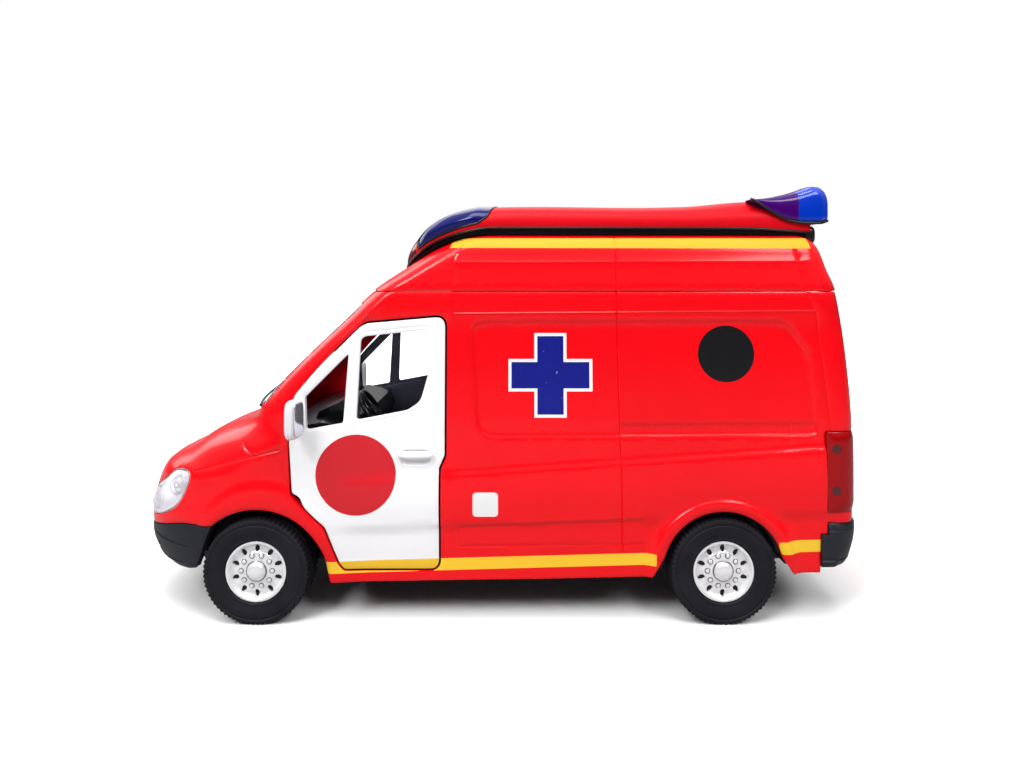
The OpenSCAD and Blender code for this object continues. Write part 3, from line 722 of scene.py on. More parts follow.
TAIL_DARK = material("tail_lens_dark", (0.10, 0.002, 0.004), 0.15, clear=0.2, coat=0.7,
                     vary=0.05, rough_vary=0.04)
NOSE_RED = material("smoked_red_lens", (0.20, 0.004, 0.010), 0.16, clear=0.2, coat=0.6,
                    vary=0.05, rough_vary=0.04)
BULB_BLUE = material("bulb_blue", (0.004, 0.02, 0.35), 0.25, coat=0.3, vary=0.05)
DARK_BLUE = material("front_beacon_lens", (0.003, 0.004, 0.115), 0.12, specular=0.25, coat=0.2,
                     vary=0.06, rough_vary=0.04)
PURPLE = material("rear_beacon_over_red", (0.05, 0.0, 0.14), 0.12, specular=0.25, coat=0.2,
                  vary=0.08, rough_vary=0.04)
BRIGHT_BLUE = material("rear_beacon_lens", (0.0, 0.040, 0.55), 0.12, specular=0.25, clear=0.1,
                       coat=0.2, vary=0.05, rough_vary=0.04)


# ---- Outlines on the sides and the front ----
def from_door(points):
    """Side outline given as distances behind the door's front edge, and heights."""
    return [(DOOR_X - p[0], *p[1:]) for p in points]


def box(near, far, low, high, radius, step):
    """A rounded rectangle, begun along its lower edge."""
    return rounded([(near, low), (far, low), (far, high), (near, high)], radius, step)


def band(start, end, low, high, slope=0, radius=0, step=0.8):
    """A rounded strip, begun along its first end, that rises towards the rear by slope."""
    return rounded([(start, low - slope * start), (start, high - slope * start),
                    (end, high - slope * end), (end, low - slope * end)], radius, step)


DOOR_EDGE = rounded(from_door([
    (0, 36, 2), (0.5, 25.5, 1), (2.5, 23.3, 1.5), (6.9, 18.9, 2), (9.6, 11.8, 1), (10.6, 10.6, 0.8),
    (28.8, 10.6, 1.7), (28.8, 30.1, 1.2), (29.9, 32.7, 1.2), (29.9, 59.5, 1.9),
    (14.8, 58.2, 1.4), (13.4, 57.6, 1.4), (0.2, 44.1, 2)]), 1, 0.6)
DOOR_GROWN = offset(DOOR_EDGE, -GAP)
QUARTER = rounded(from_door([(11.2, 52.4, 0.3), (10.3, 38.9, 0.8), (3.2, 37.6, 0.5),
                             (2.9, 44, 0.8)]), 0.5, 0.5)
WINDOW = rounded(from_door([(13.5, 55.6, 1.4), (27, 57, 1.6), (27.3, 52.1, 3), (26.6, 48.1, 6),
                            (25.2, 43.1, 3), (22.7, 41.4, 3), (12.8, 39.5, 0.6)]), 1, 0.5)

ARCH_R, REAR_ARCH_R = 13.9, 11.7
ARCH_Z = AXLE_Z - 1.85
SILL_FRONT, SILL_RISE = 7.2, 2.9  # height at the front axle, and its rise to the tail
BUMPER_END = TAIL + 9.0


def sill_point(x):
    return x, SILL_FRONT + SILL_RISE * (FRONT_AXLE - x) / (FRONT_AXLE - TAIL)


def arch_line(axle, z, r, start):
    """Edge of a wheel arch from the angle start, over the wheel to its rear end."""
    return [*arc(axle, z, r, start, 166, 44)]


BUMPER_LINE = spread(on_front([(0, 15.6), (8, 15.7), (15, 16.4), (20.5, 17.7), (23.5, 18.7)])
                     + on_side([(60, 19.2)]) + [(FRONT_AXLE + 9.1, 19.1)], 0.8)
arch_start = math.degrees(math.asin((19.05 - ARCH_Z) / ARCH_R))
front_arch = arch_line(FRONT_AXLE, ARCH_Z, ARCH_R, arch_start) + [sill_point(FRONT_AXLE - 14.2)]
rear_arch = ([sill_point(REAR_AXLE + 13.8)] + arch_line(REAR_AXLE, AXLE_Z, REAR_ARCH_R, 14)
             + [sill_point(REAR_AXLE - 13.7)])
BUMPER_STEP = [(BUMPER_END, 17.4), (TAIL + 7.7, 17.4), (TAIL + 7.7, 19.7)]
OPENING_Y = REAR_DOOR_Y + GAP
body_top = JOINT - 0.05
body_outline = spread(
    on_rear(OPENING_Y, [*np.arange(19.7, JOINT - 0.3, 1.2), body_top])
    + on_centre([body_top, *np.arange(JOINT - 0.6, 15.6, -0.7)])
    + [*BUMPER_LINE] + front_arch + rear_arch + [sill_point(BUMPER_END)] + BUMPER_STEP,
    0.8, closed=True)

# Lamps, grille and windscreen. The last two run past the centreline, where they are cut.
PAST = 6
headlight = loop(
    on_side([(58.9, 27.2), (59.1, 28.9), (60.7, 29.4), (63.2, 28.8)])
    + on_front([(20.0, 27.0), (17, 24.8), (14.4, 22.2), (14.2, 19.8), (17.6, 18.9), (21.6, 19.9)])
    + on_side([(62.2, 21.7), (60.2, 24.2)]), 6)
grille_out = rounded(on_front([(10.6, 24.2), (9.4, 17.6), (0, 17.2)])
                     + on_centre([17.2, 26], PAST) + on_front([(0, 26), (8.4, 25.6)]), 0.8, 0.6)
SCREEN_LOW, SCREEN_HIGH = 41.6, 61.8
screen_out = rounded(
    on_front([(21.6 - 0.02 * (z - 41), z) for z in (SCREEN_LOW, 46, 50, 54, 58, SCREEN_HIGH)])
    + on_centre([SCREEN_HIGH, SCREEN_LOW], PAST) + on_front([(0, 41.0)]), 0.9, 0.8)
tail_light = rounded([(TAIL + 8.0, 21.7), (TAIL + 8.2, 37.3)]
                     + on_rear(OPENING_Y + 0.45, (37.3, 21.7)), 0.5, 0.5)

# Lines and paint on the sides
SLIDE_X = -24.7
SEAM_X = 7.2


def crease_at(x):
    """Height of the soft shoulder along the side."""
    return 29.7 - 0.068 * x


def lower_crease_at(x):
    return 19.3 - 0.035 * x


WINDOW_PANEL = rounded([(3.9, 58.8, 3), (-58.2, 58.9, 5), (-62.6, 52, 6), (-64.0, 36.1, 2.4),
                        (2.6, 35.9, 4)], 3, 0.7)
RAIL = rounded([(SLIDE_X - 0.7, 38.7, 0.1), (-63.6, 39.1, 0.2), (-63.6, 36.4, 2.2),
                (SLIDE_X - 0.7, 36.3, 0.1)], 1, 0.7)
side_features = [
    Panel(WINDOW_PANEL, 0.62, 0.34),
    Panel(RAIL, 0.4, 0.18),
    Groove([(SLIDE_X - 1.1, 13.4), (SLIDE_X, JOINT - 0.1)], 0.42, 0.17),
    Groove([(6.8, 60.1), (-63.6, 60.6)], 0.4, -0.14),
    Groove([(SEAM_X, 61.2), (SEAM_X, JOINT - 0.1)], 0.34, 0.08),
    Groove([(6, 18.4), (6, 14.9), (SLIDE_X - 5, 15.4)], 0.34, 0.1),
    Groove([(-58.6, 38.8), (-58.6, 36.4)], 0.34, 0.1),
    Groove([(-62.6, JOINT - 0.2), (-63.9, 60), (-66.2, 38)], 0.4, 0.12),
    Groove(on_side([(57.8, 29.2), (52.5, 30.7), (45.6, 32.5), (40.9, 33.6)]), 0.5, 0.14),
    Groove(on_side([(48.2, 34.9), (45.6, 32.5)]), 0.45, 0.12)]


def flare(flat, x, z, near, width, depth):
    """A raised band round a wheel arch."""
    r = np.hypot(flat[:, 0] - x, flat[:, 1] - z)
    far = near + width
    return depth * smooth((far - r) / (far - near))


REAR_FLARE, FRONT_FLARE = 13.5, 12.2


def side_shape(flat, base):
    """The pressed form of the side: a soft shoulder, a lower crease and the arch flares."""
    x, z = base[:, 0], flat[:, 1]
    shoulder, crease = crease_at(x), lower_crease_at(x)
    fade = smooth((34 - x) / 12) * smooth((x - TAIL - 2) / 5) * (np.abs(flat[:, 0] - x) < 0.5)
    upper = -0.50 * smooth((z - shoulder + 0.6) / 1.2)
    share = (z - crease) / (shoulder - crease)
    bulge = 0.22 * np.sin(math.pi * np.clip(share, 0, 1)) ** 2
    lower = -0.55 * smooth((crease + 0.4 - z) / 0.8)
    recover = 0.34 * smooth((12.6 - z) / 1.0)
    release = 0.50 * smooth((z - 56) / 8)
    shape = fade * (upper + bulge + lower + 0.4 * recover + release)
    lip = flare(flat, REAR_AXLE, AXLE_Z, REAR_ARCH_R, 0.7, -0.3)
    lip += flare(flat, FRONT_AXLE, ARCH_Z, ARCH_R, 0.7, -0.3)
    rear = flare(flat, REAR_AXLE, AXLE_Z, REAR_FLARE, 0.7, 0.45)
    front = (smooth((62 - x) / 6) * smooth((z - 12) / 5)
             * flare(flat, FRONT_AXLE - 0.6, AXLE_Z + 4.0, FRONT_FLARE, 1.6, 0.45))
    near_wheel = smooth((15.5 - np.hypot(x - REAR_AXLE, z - AXLE_Z)) / 1.5)
    return np.maximum(shape, -0.55) * (1 - near_wheel) + rear + front + lip


SLOPE = 0.027
LOW_STRIPE = band(33, REAR_AXLE + 13.0, 10.55, 12.85, SLOPE)
REAR_STRIPE = band(REAR_AXLE - 10.6, BUMPER_END, 12.2, 14.6, SLOPE)
CROSS_X, CROSS_Z = -11.8, 48.1


def cross(arm, half):
    """A cross of four arms; arm is their reach and half is half their width."""
    ring = []
    for k in range(4):
        c, s = round(math.cos(k * math.pi / 2)), round(math.sin(k * math.pi / 2))
        ring += [(CROSS_X + c * x + s * z, CROSS_Z - s * x + c * z)
                 for x, z in ((half, arm), (half, half), (arm, half))]
    return rounded(ring, 0.12, 0.8)


DISC = circle(-46.15, 52.25, 5.51, 64)
SQUARE = band(3.3, -1.6, 21.0, 25.7, radius=0.8, step=0.6)
body_paint = [(LOW_STRIPE, 1), (REAR_STRIPE, 1), (cross(8.2, 3.15), 2), (cross(7.6, 2.55), 3),
              (DISC, 4), (SQUARE, 2)]

# ---- Lower body ----
# Rows of points lie closer together where the skin turns from the bonnet to the windscreen
dense_rows = [8.6]
while dense_rows[-1] < JOINT - 0.5:
    v = dense_rows[-1]
    steep = abs(float(front_at(v + 0.3)) - float(front_at(v - 0.3))) / 0.6
    dense_rows.append(v + 1.15 / math.sqrt(1 + 0.8 * steep ** 2))
body_chains = chains_of(side_features)
for along, line, steps in (
        (np.arange(TAIL + 8.6, 6.6, 1.2), crease_at, (-0.6, 0, 0.6)),
        (np.arange(REAR_AXLE + 16, 6.6, 1.2), lower_crease_at, (-0.4, 0, 0.4))):
    body_chains += [(np.stack([along, line(along) + d], 1), False) for d in steps]
body_chains += [(outline, True) for outline, _ in body_paint]
for x, z, r, start, end, count, steps in (
        (REAR_AXLE, AXLE_Z, REAR_FLARE, 12, 168, 70, (-0.1, 0.18, 0.36, 0.54, 0.8)),
        (REAR_AXLE, AXLE_Z, REAR_ARCH_R, 16, 164, 60, (0.2, 0.42, 0.75)),
        (FRONT_AXLE, ARCH_Z, ARCH_R, 52, 164, 60, (0.2, 0.42, 0.75))):
    body_chains += [(arc(x, z, r + d, start, end, count), False) for d in steps]
holes = [DOOR_GROWN, headlight, grille_out, screen_out, tail_light]
shell("body", triangulate(body_outline, holes, body_chains, 1.25, np.array(dense_rows)), skin,
      [RED, YELLOW, WHITE_PRINT, BLUE_PRINT, BLACK_PRINT], "red_paint", "body_shell",
      relief=side_features, extra=side_shape, paint=body_paint)

# ---- High roof ----
roof_low = JOINT + 0.08
roof_top = PROFILE[-1][0] - 0.05
roof_vs = np.arange(roof_low + 0.9, roof_top, 0.9)
roof_outline = spread(on_rear(0, [roof_low]) + on_centre([roof_low, *roof_vs, roof_top])
                      + on_rear(0, [roof_top, *roof_vs[::-1]]), 0.9, closed=True)
ROOF_STRIPE = rounded(on_side([(8.1, 73.0), (7.6, 75.35)]) + [(-63.3, 75.35), (-63.5, 72.85)],
                      0.2, 0.8)
roof_features = [
    Groove([(SEAM_X, roof_low), (SEAM_X, 75.8)], 0.34, 0.09),
    Groove([(SLIDE_X, roof_low), (SLIDE_X, 78.2)], 0.42, 0.15),
    Groove([(6.6, 70.2), (-62, 70.4)], 0.4, -0.07),
    Groove([(-61.3, roof_low), (-60.4, 71), (-59.8, 73)], 0.5, 0.1)]


def roof_shape(flat, base):
    """The roof stands slightly proud of the body at the joint line."""
    return 0.14 * smooth((68 - flat[:, 1]) / 3)


shell("roof", triangulate(roof_outline, (), chains_of(roof_features) + [(ROOF_STRIPE, True)], 1.3),
      skin, [RED, ROOF_YELLOW_PAINTED_SHADE], "red_paint", "high_roof", relief=roof_features, extra=roof_shape,
      paint=[(ROOF_STRIPE, 1)])

# ---- Cab doors ----
SIDES = (("left", 1), ("right", -1))
BADGE = circle(25.9, 28.95, 7.75, 72)
HANDLE_X, HANDLE_Z = 14.4, 32.4
handle_dish = band(HANDLE_X + 3.0, HANDLE_X - 3.0, HANDLE_Z - 1.7, HANDLE_Z + 1.5, radius=1.5,
                   step=0.4)
frame_line = offset(WINDOW, -0.75)
frame_groove = Groove(frame_line[int(len(frame_line) * 0.02):], 0.4, 0.07)
door_features = [Panel(handle_dish, 0.7, 0.55), frame_groove]


def door_shape(flat, base):
    """The side's form, with a fuller edge over the hinge pin."""
    over_pin = smooth((flat[:, 0] - 35.7) / 0.7) * smooth((flat[:, 1] - 28) / 8)
    return side_shape(flat, base) + 0.3 * over_pin


CARD = rounded(from_door([(3.0, 36.9, 1), (3.4, 25, 2), (8, 20, 2), (11.5, 13.4, 2),
                          (26.4, 13.4, 2), (27.4, 40.6, 1), (22.7, 40.4, 3), (12.8, 38.6, 1)]),
               1, 0.6)
card_oval = rounded([(17.8, 35.6), (17.8, 38.6), (13.2, 38.9), (13.2, 36)], 1.4, 0.5)
arm_rest = rounded([(29, 26.4), (29, 29.8), (14, 30.2), (14, 26.8)], 1.4, 0.6)
door_pocket = rounded([(27, 15.4), (29.5, 20.6), (14.4, 21.4), (14.4, 15.4)], 1.5, 0.6)
card_features = [Panel(card_oval, 0.9, 0.3), Panel(arm_rest, 1.0, -1.0),
                 Panel(door_pocket, 0.8, 0.35)]
CARD_Y = corner("left_door_card", HIGH)[1] - 0.62


def card_place(x, z):
    return x, np.full_like(x, CARD_Y), z


# The corner ahead of the hinge is eased, so that it clears the body as the door opens
eased = np.exp(-((DOOR_EDGE - [37.2, 24.3]) ** 2).sum(1) / 2.0)[:, None] * [-0.48, 0.32]
door_sheet = triangulate(DOOR_EDGE + eased, [QUARTER, WINDOW],
                         chains_of(door_features) + [(BADGE, True), (LOW_STRIPE, True)], 1.1)
card_sheet = triangulate(CARD, (), chains_of(card_features), 1.0)
for hand, side in SIDES:
    rides = hand + "_cab_door"
    shell(rides + "_skin", door_sheet, skin, [WHITE, DISC_RED, YELLOW, TRIM], "white_paint",
          hand + "_door", rides=rides, relief=door_features, extra=door_shape, thick=1.1,
          paint=[(BADGE, 1), (LOW_STRIPE, 2)], inner=3, side=side)
    shell(rides + "_trim", card_sheet, card_place, [TRIM], "trim_plastic", hand + "_door_card",
          rides=rides, relief=card_features, thick=0.6, side=side, facing=(0, -1, 0))
    rounded_box(rides + "_handle", (HANDLE_X, side * (HALF_W - 0.02), HANDLE_Z + 0.5),
                (3.5, 0.6, 0.7), 3.2, WHITE, "white_paint", rides=rides, rings=14)
    mirror_x = middle(hand + "_mirror")[0]
    rounded_box(hand + "_mirror_housing", (mirror_x + 0.05, side * 29.75, 40.4),
                (1.05, 2.25, 3.7), 4.0, WHITE_PLASTIC, "white_plastic", hand + "_mirror",
                rides=rides, turn=-0.2 * side, rings=22)
    rounded_box(hand + "_mirror_glass", (mirror_x - 0.95, side * 29.95, 40.5),
                (0.14, 1.8, 3.1), 5.0, SILVER, "chrome_plastic", rides=rides,
                turn=-0.2 * side, rings=16)
    rounded_box(hand + "_mirror_foot", (mirror_x - 0.4, side * 27.2, 38.3), (0.8, 0.75, 1.1), 3.0,
                WHITE_PLASTIC, "white_plastic", rides=rides, rings=12)


# ---- Lamps, grille and windscreen, cut from the same skin ----
def clip_to_centre(outline):
    """Keeps a front outline on its own side of the centreline."""
    kept = outline.copy()
    kept[:, 0] = np.minimum(kept[:, 0], nose_t(kept[:, 1]))
    return kept


def bulge_from(edge, height, reach):
    """A lens that swells inwards from its edge."""
    def bulge(flat, base):
        return height * smooth(distance(edge, flat, True) / reach)
    return bulge


bowl_high = on_side([(61.6, 26.2)])[0]
bowl_low = on_front([(19.4, 22.6)])[0]
lamp_rings = [circle(*centre, r, 36)
              for centre, radii in ((bowl_high, (1.9, 1.6, 0.7, 0.35)),
                                    (bowl_low, (2.2, 1.85, 0.8, 0.4))) for r in radii]
ring_chains = [(ring, True) for ring in lamp_rings]
# Every other ring is painted darker on the lens and on the reflector: painted shade at the bowls'
# rims and round the bulbs.
ring_painted_shade = [(ring, k % 2 == 0) for k, ring in enumerate(lamp_rings)]
lens_edge = offset(headlight, 0.1)
lens_sheet = triangulate(lens_edge, (), ring_chains, 0.7)
back_sheet = triangulate(offset(headlight, 0.5), (), ring_chains, 0.45)


def bowls(flat, base):
    """Two round reflectors, each with its bulb."""
    high_r = np.hypot(*(flat - bowl_high).T)
    low_r = np.hypot(*(flat - bowl_low).T)
    height = -0.9 * np.sqrt(np.clip(1 - (high_r / 2.6) ** 2, 0, 1))
    height -= 1.0 * np.sqrt(np.clip(1 - (low_r / 2.8) ** 2, 0, 1))
    return height + 0.5 * np.exp(-((high_r / 0.8) ** 2)) + 0.5 * np.exp(-((low_r / 0.8) ** 2))


lamp_marks = [circle(-66.9, z, 0.95, 20) for z in (34.0, 26.0)]
lamp_edge = offset(tail_light, 0.1)
lamp_sheet = triangulate(lamp_edge, (), [(mark, True) for mark in lamp_marks], 0.8)
for hand, side in SIDES:
    shell(hand + "_headlight_lens", lens_sheet, skin, [LAMP, LAMP_PAINTED_SHADE], "lamp_clear",
          hand + "_headlight", extra=bulge_from(lens_edge, 0.45, 3), thick=0.4, paint=ring_painted_shade,
          side=side)
    shell(hand + "_headlight_reflector", back_sheet, skin, [REFLECTOR, PAINTED_SHADE_CHROME],
          "chrome_plastic", extra=bowls, thick=0.3, paint=ring_painted_shade, side=side, raise_by=-0.75)
    shell(hand + "_tail_lamp", lamp_sheet, skin, [TAIL_RED, TAIL_DARK], "lamp_red",
          hand + "_tail_light", extra=bulge_from(lamp_edge, 0.3, 1.6), thick=1.2,
          paint=[(mark, 1) for mark in lamp_marks], side=side)

SLACK = 0.12  # left round the windscreen and the grille
screen_in = clip_to_centre(offset(screen_out, SLACK))
shell("windscreen_glass", triangulate(screen_in, (), (), 1.3, edge=0), skin, [GLASS],
      "clear_plastic", "windscreen", thick=0.6, raise_by=-0.2)

grille_in = clip_to_centre(offset(grille_out, SLACK))
slat_lines = [(on_front([(11, z)]) + on_centre([z], 1), False) for z in np.arange(17.6, 26, 0.35)]


def slats(flat, base):
    return -0.55 + 0.5 * np.abs(np.cos(math.pi * (flat[:, 1] - 17.2) / 2.2)) ** 0.5


shell("front_grille", triangulate(grille_in, (), slat_lines, 0.9, edge=0), skin, [BLACK],
      "black_plastic", "grille", extra=slats, thick=0.8)

# ---- Bumpers ----
bumper_low = 9.7
bumper_vs = np.arange(15.2, bumper_low + 0.4, -0.8)
front_edge = [(54.15, 18.95), (55.3, 16.5), (56.2, 14), (57.3, 11.8), (58.3, 10.5)]
bumper_outline = spread(
    [(t, z - 0.14) for t, z in BUMPER_LINE] + front_edge
    + [(float(by_x(59.4, bumper_low)), bumper_low + 0.15)] + on_side([(62.5, bumper_low)])
    + on_centre([bumper_low, *bumper_vs[::-1]]), 0.8, closed=True)
bumper_intake = rounded(on_front([(11.5, 13.2), (11.5, 10.9)]) + on_centre([10.9, 13.2], 5),
                        0.6, 0.7)
fog_outline = rounded(on_front([(20.4, 13.9), (16.2, 13.9), (16.6, 11.8), (20.2, 11.8)]), 0.6, 0.5)
bumper_features = [
    Groove(on_front([(17, 15.9)]) + [(float(by_x(64, 15.3)), 15.2)] + on_side([(58.6, 14.4)]),
           0.5, 0.16),
    Groove(on_side([(64.5, 11.5), (60.6, 11.2)]), 0.4, 0.14),
    Panel(bumper_intake, 0.5, 0.7), Panel(fog_outline, 0.5, 0.5)]


def bumper_shape(flat, base):
    return 0.15 - 0.5 * smooth((10.8 - flat[:, 1]) / 1.2)


shell("front_bumper_skin", triangulate(bumper_outline, (), chains_of(bumper_features), 1.1), skin,
      [BLACK], "black_plastic", "front_bumper", relief=bumper_features, extra=bumper_shape,
      thick=1.4)

REAR_R = 6.5
rear_w = HALF_W - 0.15
rear_x = TAIL + 0.35


def rear_bumper_place(t, z):
    """Side, rounded corner and rear face of the rear bumper."""
    x, y = round_corner(t, t, rear_w, rear_x, REAR_R, rear_w)
    return x + 1.6 * smooth((17.5 - z) / 8) * np.clip((rear_x + REAR_R - t) / 3, 0, 1), y, z


def rear_t(y):
    return corner_t(rear_x, REAR_R, rear_w, y)


rear_low = corner("rear_bumper", LOW)[2]
rear_top = corner("rear_bumper", HIGH)[2] - 0.65
SIDE_X = TAIL + 8.9
STEP_X = TAIL + 7.6
rear_outline = spread([
    (SIDE_X, rear_low), (SIDE_X, 17.3), (STEP_X, 17.3), (STEP_X, rear_top),
    (rear_t(OPENING_Y), rear_top), (rear_t(OPENING_Y), REAR_DOOR_LOW - 0.5),
    (rear_t(0), REAR_DOOR_LOW - 0.5), (rear_t(0), rear_low)], 0.8, closed=True)
rear_features = [Groove([(TAIL + back, z), (rear_t(OPENING_Y + 0.2), z)], 0.5, 0.15)
                 for back, z in ((8.8, 12.4), (7.5, 18.2))]
rear_features += [Groove([(rear_t(y), rear_low + 0.4), (rear_t(y), 13.2)], 0.4, 0.12)
                  for y in np.arange(2, 22, 2.0)]


def rear_bumper_shape(flat, base):
    z = flat[:, 1]
    return -0.35 * (smooth((rear_low + 1 - z) / 1) + smooth((z - rear_top + 0.8) / 0.8))


shell("rear_bumper_skin", triangulate(rear_outline, (), chains_of(rear_features), 1.1),
      rear_bumper_place, [BLACK], "black_plastic", "rear_bumper", relief=rear_features,
      extra=rear_bumper_shape, thick=1.6, facing=(-0.4, 1, 0))


# ---- Rear doors ----
def rear_door_place(y, z):
    return rear_at(z), y, z


DOOR_GAP = 0.22
rear_door_outline = box(DOOR_GAP, REAR_DOOR_Y, REAR_DOOR_LOW, REAR_DOOR_HIGH, 0.7, 0.7)
glass_low = corner("left_rear_glass", LOW) + 0.5
glass_high = corner("left_rear_glass", HIGH) - 0.5
pane = rounded([(glass_low[1], glass_low[2]), (glass_high[1], glass_low[2]),
                (glass_high[1] - 0.4, glass_high[2]), (glass_low[1], glass_high[2])], 1.4, 0.6)
lower_panel = box(2.6, REAR_DOOR_Y - 3.4, 17.2, 35.6, 1.6, 0.7)
rear_door_features = [Panel(offset(pane, -1.1), 0.6, 0.2), Panel(lower_panel, 0.8, 0.3),
                      Groove([(1.2, 38.2), (REAR_DOOR_Y - 0.8, 38.2)], 0.5, -0.14)]
hinge_notches = [box(REAR_DOOR_Y - 2.6, REAR_DOOR_Y + 1, z - 0.5, z + 2.9, 0.2, 0.5)
                 for z in (18.5, 38.5)]
rear_sheet = triangulate(rear_door_outline, [pane] + hinge_notches,
                         chains_of(rear_door_features), 1.1)
pane_sheet = triangulate(offset(pane, 0.05), (), (), 1.2, edge=0)
for hand, side in SIDES:
    rides = hand + "_back_door"
    shell(rides + "_skin", rear_sheet, rear_door_place, [RED, TRIM], "red_paint",
          hand + "_rear_door", rides=rides, relief=rear_door_features, thick=1.6, inner=1,
          side=side, facing=(-1, 0, 0))
    shell(rides + "_glass", pane_sheet, rear_door_place, [GLASS], "clear_plastic",
          hand + "_rear_glass", rides=rides, thick=0.6, side=side, raise_by=-0.35,
          facing=(-1, 0, 0))

rounded_box("back_door_handle", (float(rear_at(33)) - 0.25, 2.3, 33), (0.5, 1.5, 0.7), 3.4, BLACK,
            "black_plastic", rides="left_back_door", rings=14)
rounded_box("blank_plate", (float(rear_at(27)) - 0.12, 6.8, 20.6), (0.25, 4.6, 1.5), 8.0,
            WHITE_PLASTIC, "white_plastic", rides="left_back_door", rings=18)

# ---- Fairing and beacons on the roof ----
FAIR_TIP = 19.2
FAIR_W = corner("roof_fairing", HIGH)[1]
fair_rear = corner("roof_fairing", LOW)[0]
NOSE_FROM = 8.0
foot_at = curve([-68, -60, -50, 0, 5, 9, 13, 16, FAIR_TIP],
                [76.1, 76.7, 77.2, 77.3, 76.6, 75.5, 73.8, 71.8, 69.3])
crown_at = curve([-68, -62, -52, -40, -30, -10, -1, 4, 8, 11, 13.5, 16, 18, FAIR_TIP],
                 [82.7, 83.6, 83.2, 82.2, 82.0, 82.2, 82.1, 81.5, 80.6, 79.4, 77.9, 75.6, 73.1,
                  70.6])


def fair_x(p):
    """Place along the fairing; the nose is drawn closer together towards its tip."""
    q = np.clip((p - NOSE_FROM) / 18, 0, 1)
    return np.where(p < NOSE_FROM, p, NOSE_FROM + (FAIR_TIP - NOSE_FROM) * np.sin(q * math.pi / 2))


def fair_p(x):
    q = np.clip((x - NOSE_FROM) / (FAIR_TIP - NOSE_FROM), 0, 1)
    return np.where(x < NOSE_FROM, x, NOSE_FROM + 18 * np.arcsin(q) / (math.pi / 2))


def fair_width(x):
    ahead = np.clip((x + 6) / (FAIR_TIP + 6), 0, 1)
    behind = np.clip((-56 - x) / 30, 0, 1)
    return FAIR_W * (1 - ahead ** 2.7) ** (1 / 2.7) - 5.0 * behind ** 1.5


ROUND, RISE = 0.46, 0.6  # how full the fairing's section is, outwards and upwards
FAIR_UP = 26


def fairing(p, a):
    """Half of the fairing: a runs from the foot of its side, 0, to the centreline, FAIR_UP."""
    x = fair_x(p)
    q = np.clip(a / FAIR_UP, 0, 1) * math.pi / 2
    foot, crown = foot_at(x), crown_at(x)
    y = fair_width(x) * np.cos(q) ** ROUND
    z = foot + (crown - foot) * np.sin(q) ** RISE
    return x, np.maximum(y, 0), z


def fair_points(points):
    """(x, share of the height) on the fairing's side, as (p, a)."""
    return [(float(fair_p(x)), FAIR_UP * math.asin(min(1, s) ** (1 / RISE)) / (math.pi / 2))
            for x, s in points]


lens_outline = rounded(
    fair_points([(-1.4, 0.985), (0.6, 0.42), (2.4, 0.2), (8, 0.13), (12.5, 0.12), (15.4, 0.16)])
    + [(float(fair_p(15.6)), 9), (float(fair_p(13)), 15.5), (4, 20.5)], 1.2, 0.6)
nose_end = float(fair_p(FAIR_TIP - 0.02))
fair_back = fair_rear + 0.4
fair_outline = spread([(fair_back, 0), (nose_end, 0), (nose_end, FAIR_UP), (fair_back, FAIR_UP)],
                      0.8, closed=True)
nose_paint = box(float(fair_p(15.9)), nose_end + 3, -1, FAIR_UP + 1, 0, 0.8)
shell("fairing", triangulate(fair_outline, [lens_outline], [(nose_paint, True)], 1.0), fairing,
      [RED_PLASTIC, NOSE_RED], "red_plastic", "roof_fairing", thick=0.9, paint=[(nose_paint, 1)])
beacon_edge = offset(lens_outline, 0.3)
beacon_sheet = triangulate(beacon_edge, (), (), 0.8)
gasket_line = np.stack(fairing(*offset(lens_outline, SLACK).T), 1) + [0, 0, 0.02]

BEACON_FRONT, BEACON_LENGTH, BORDER_X = -52.2, 16.0, -61.2
low_of_beacon = curve([-68.2, -66, -63, -59.6, -56.2, -53.4, BEACON_FRONT],
                      [78.5, 77.9, 77.9, 78.4, 80.1, 82.0, 82.7])
top_of_beacon = curve([-68.2, -67.4, -66.2, -65.2, -63.9, -60.3, -55, BEACON_FRONT],
                      [83.2, 85.0, 85.68, 85.72, 85.3, 84.2, 83.1, 82.8])
out_of_beacon, in_of_beacon = (
    curve([-68.2, -66, -60, -55, BEACON_FRONT], ys)
    for ys in ([20.4, 21.2, 21.6, 21.8, 21.6], [12.2, 10.8, 10.6, 13, 17.6]))


def rear_beacon(hand, side):
    """A closed lens whose cross-sections are soft-edged boxes; it sweeps up to the rear."""
    count = 44
    share = np.linspace(0, 1, count)
    xs = BEACON_FRONT - BEACON_LENGTH * (1 - np.cos(share * math.pi)) / 2
    points = []
    for s, x in zip(share, xs):
        low, top, out, into = (float(at(x)) for at in (low_of_beacon, top_of_beacon,
                                                       out_of_beacon, in_of_beacon))
        close = math.sqrt(max(0.0, 1 - max(0, (s - 0.88) / 0.12) ** 2))
        half_y = (out - into) / 2 * (0.45 + 0.55 * close)
        half_z = max((top - low) / 2, 0.08) * (0.5 + 0.5 * close)
        for q in np.linspace(0, 2 * math.pi, count, endpoint=False):
            c, d = math.cos(q), math.sin(q)
            soft = 0.55 if d > 0 else 0.25
            y = (out + into) / 2 + half_y * math.copysign(abs(c) ** soft, c)
            z = (top + low) / 2 + half_z * math.copysign(abs(d) ** soft, d)
            points.append((x, side * y, z))
    faces = ring_faces(count, count, order=FORWARD if side > 0 else BACKWARD)
    faces += end_caps(count, count, side < 0)
    indices = np.append(np.repeat(xs[:-1] > BORDER_X, count), [1, 0])
    finish_piece(add_mesh(hand + "_rear_beacon_lens", points, faces, [BRIGHT_BLUE, PURPLE],
                          indices, 55), "beacon_blue", hand + "_rear_beacon")


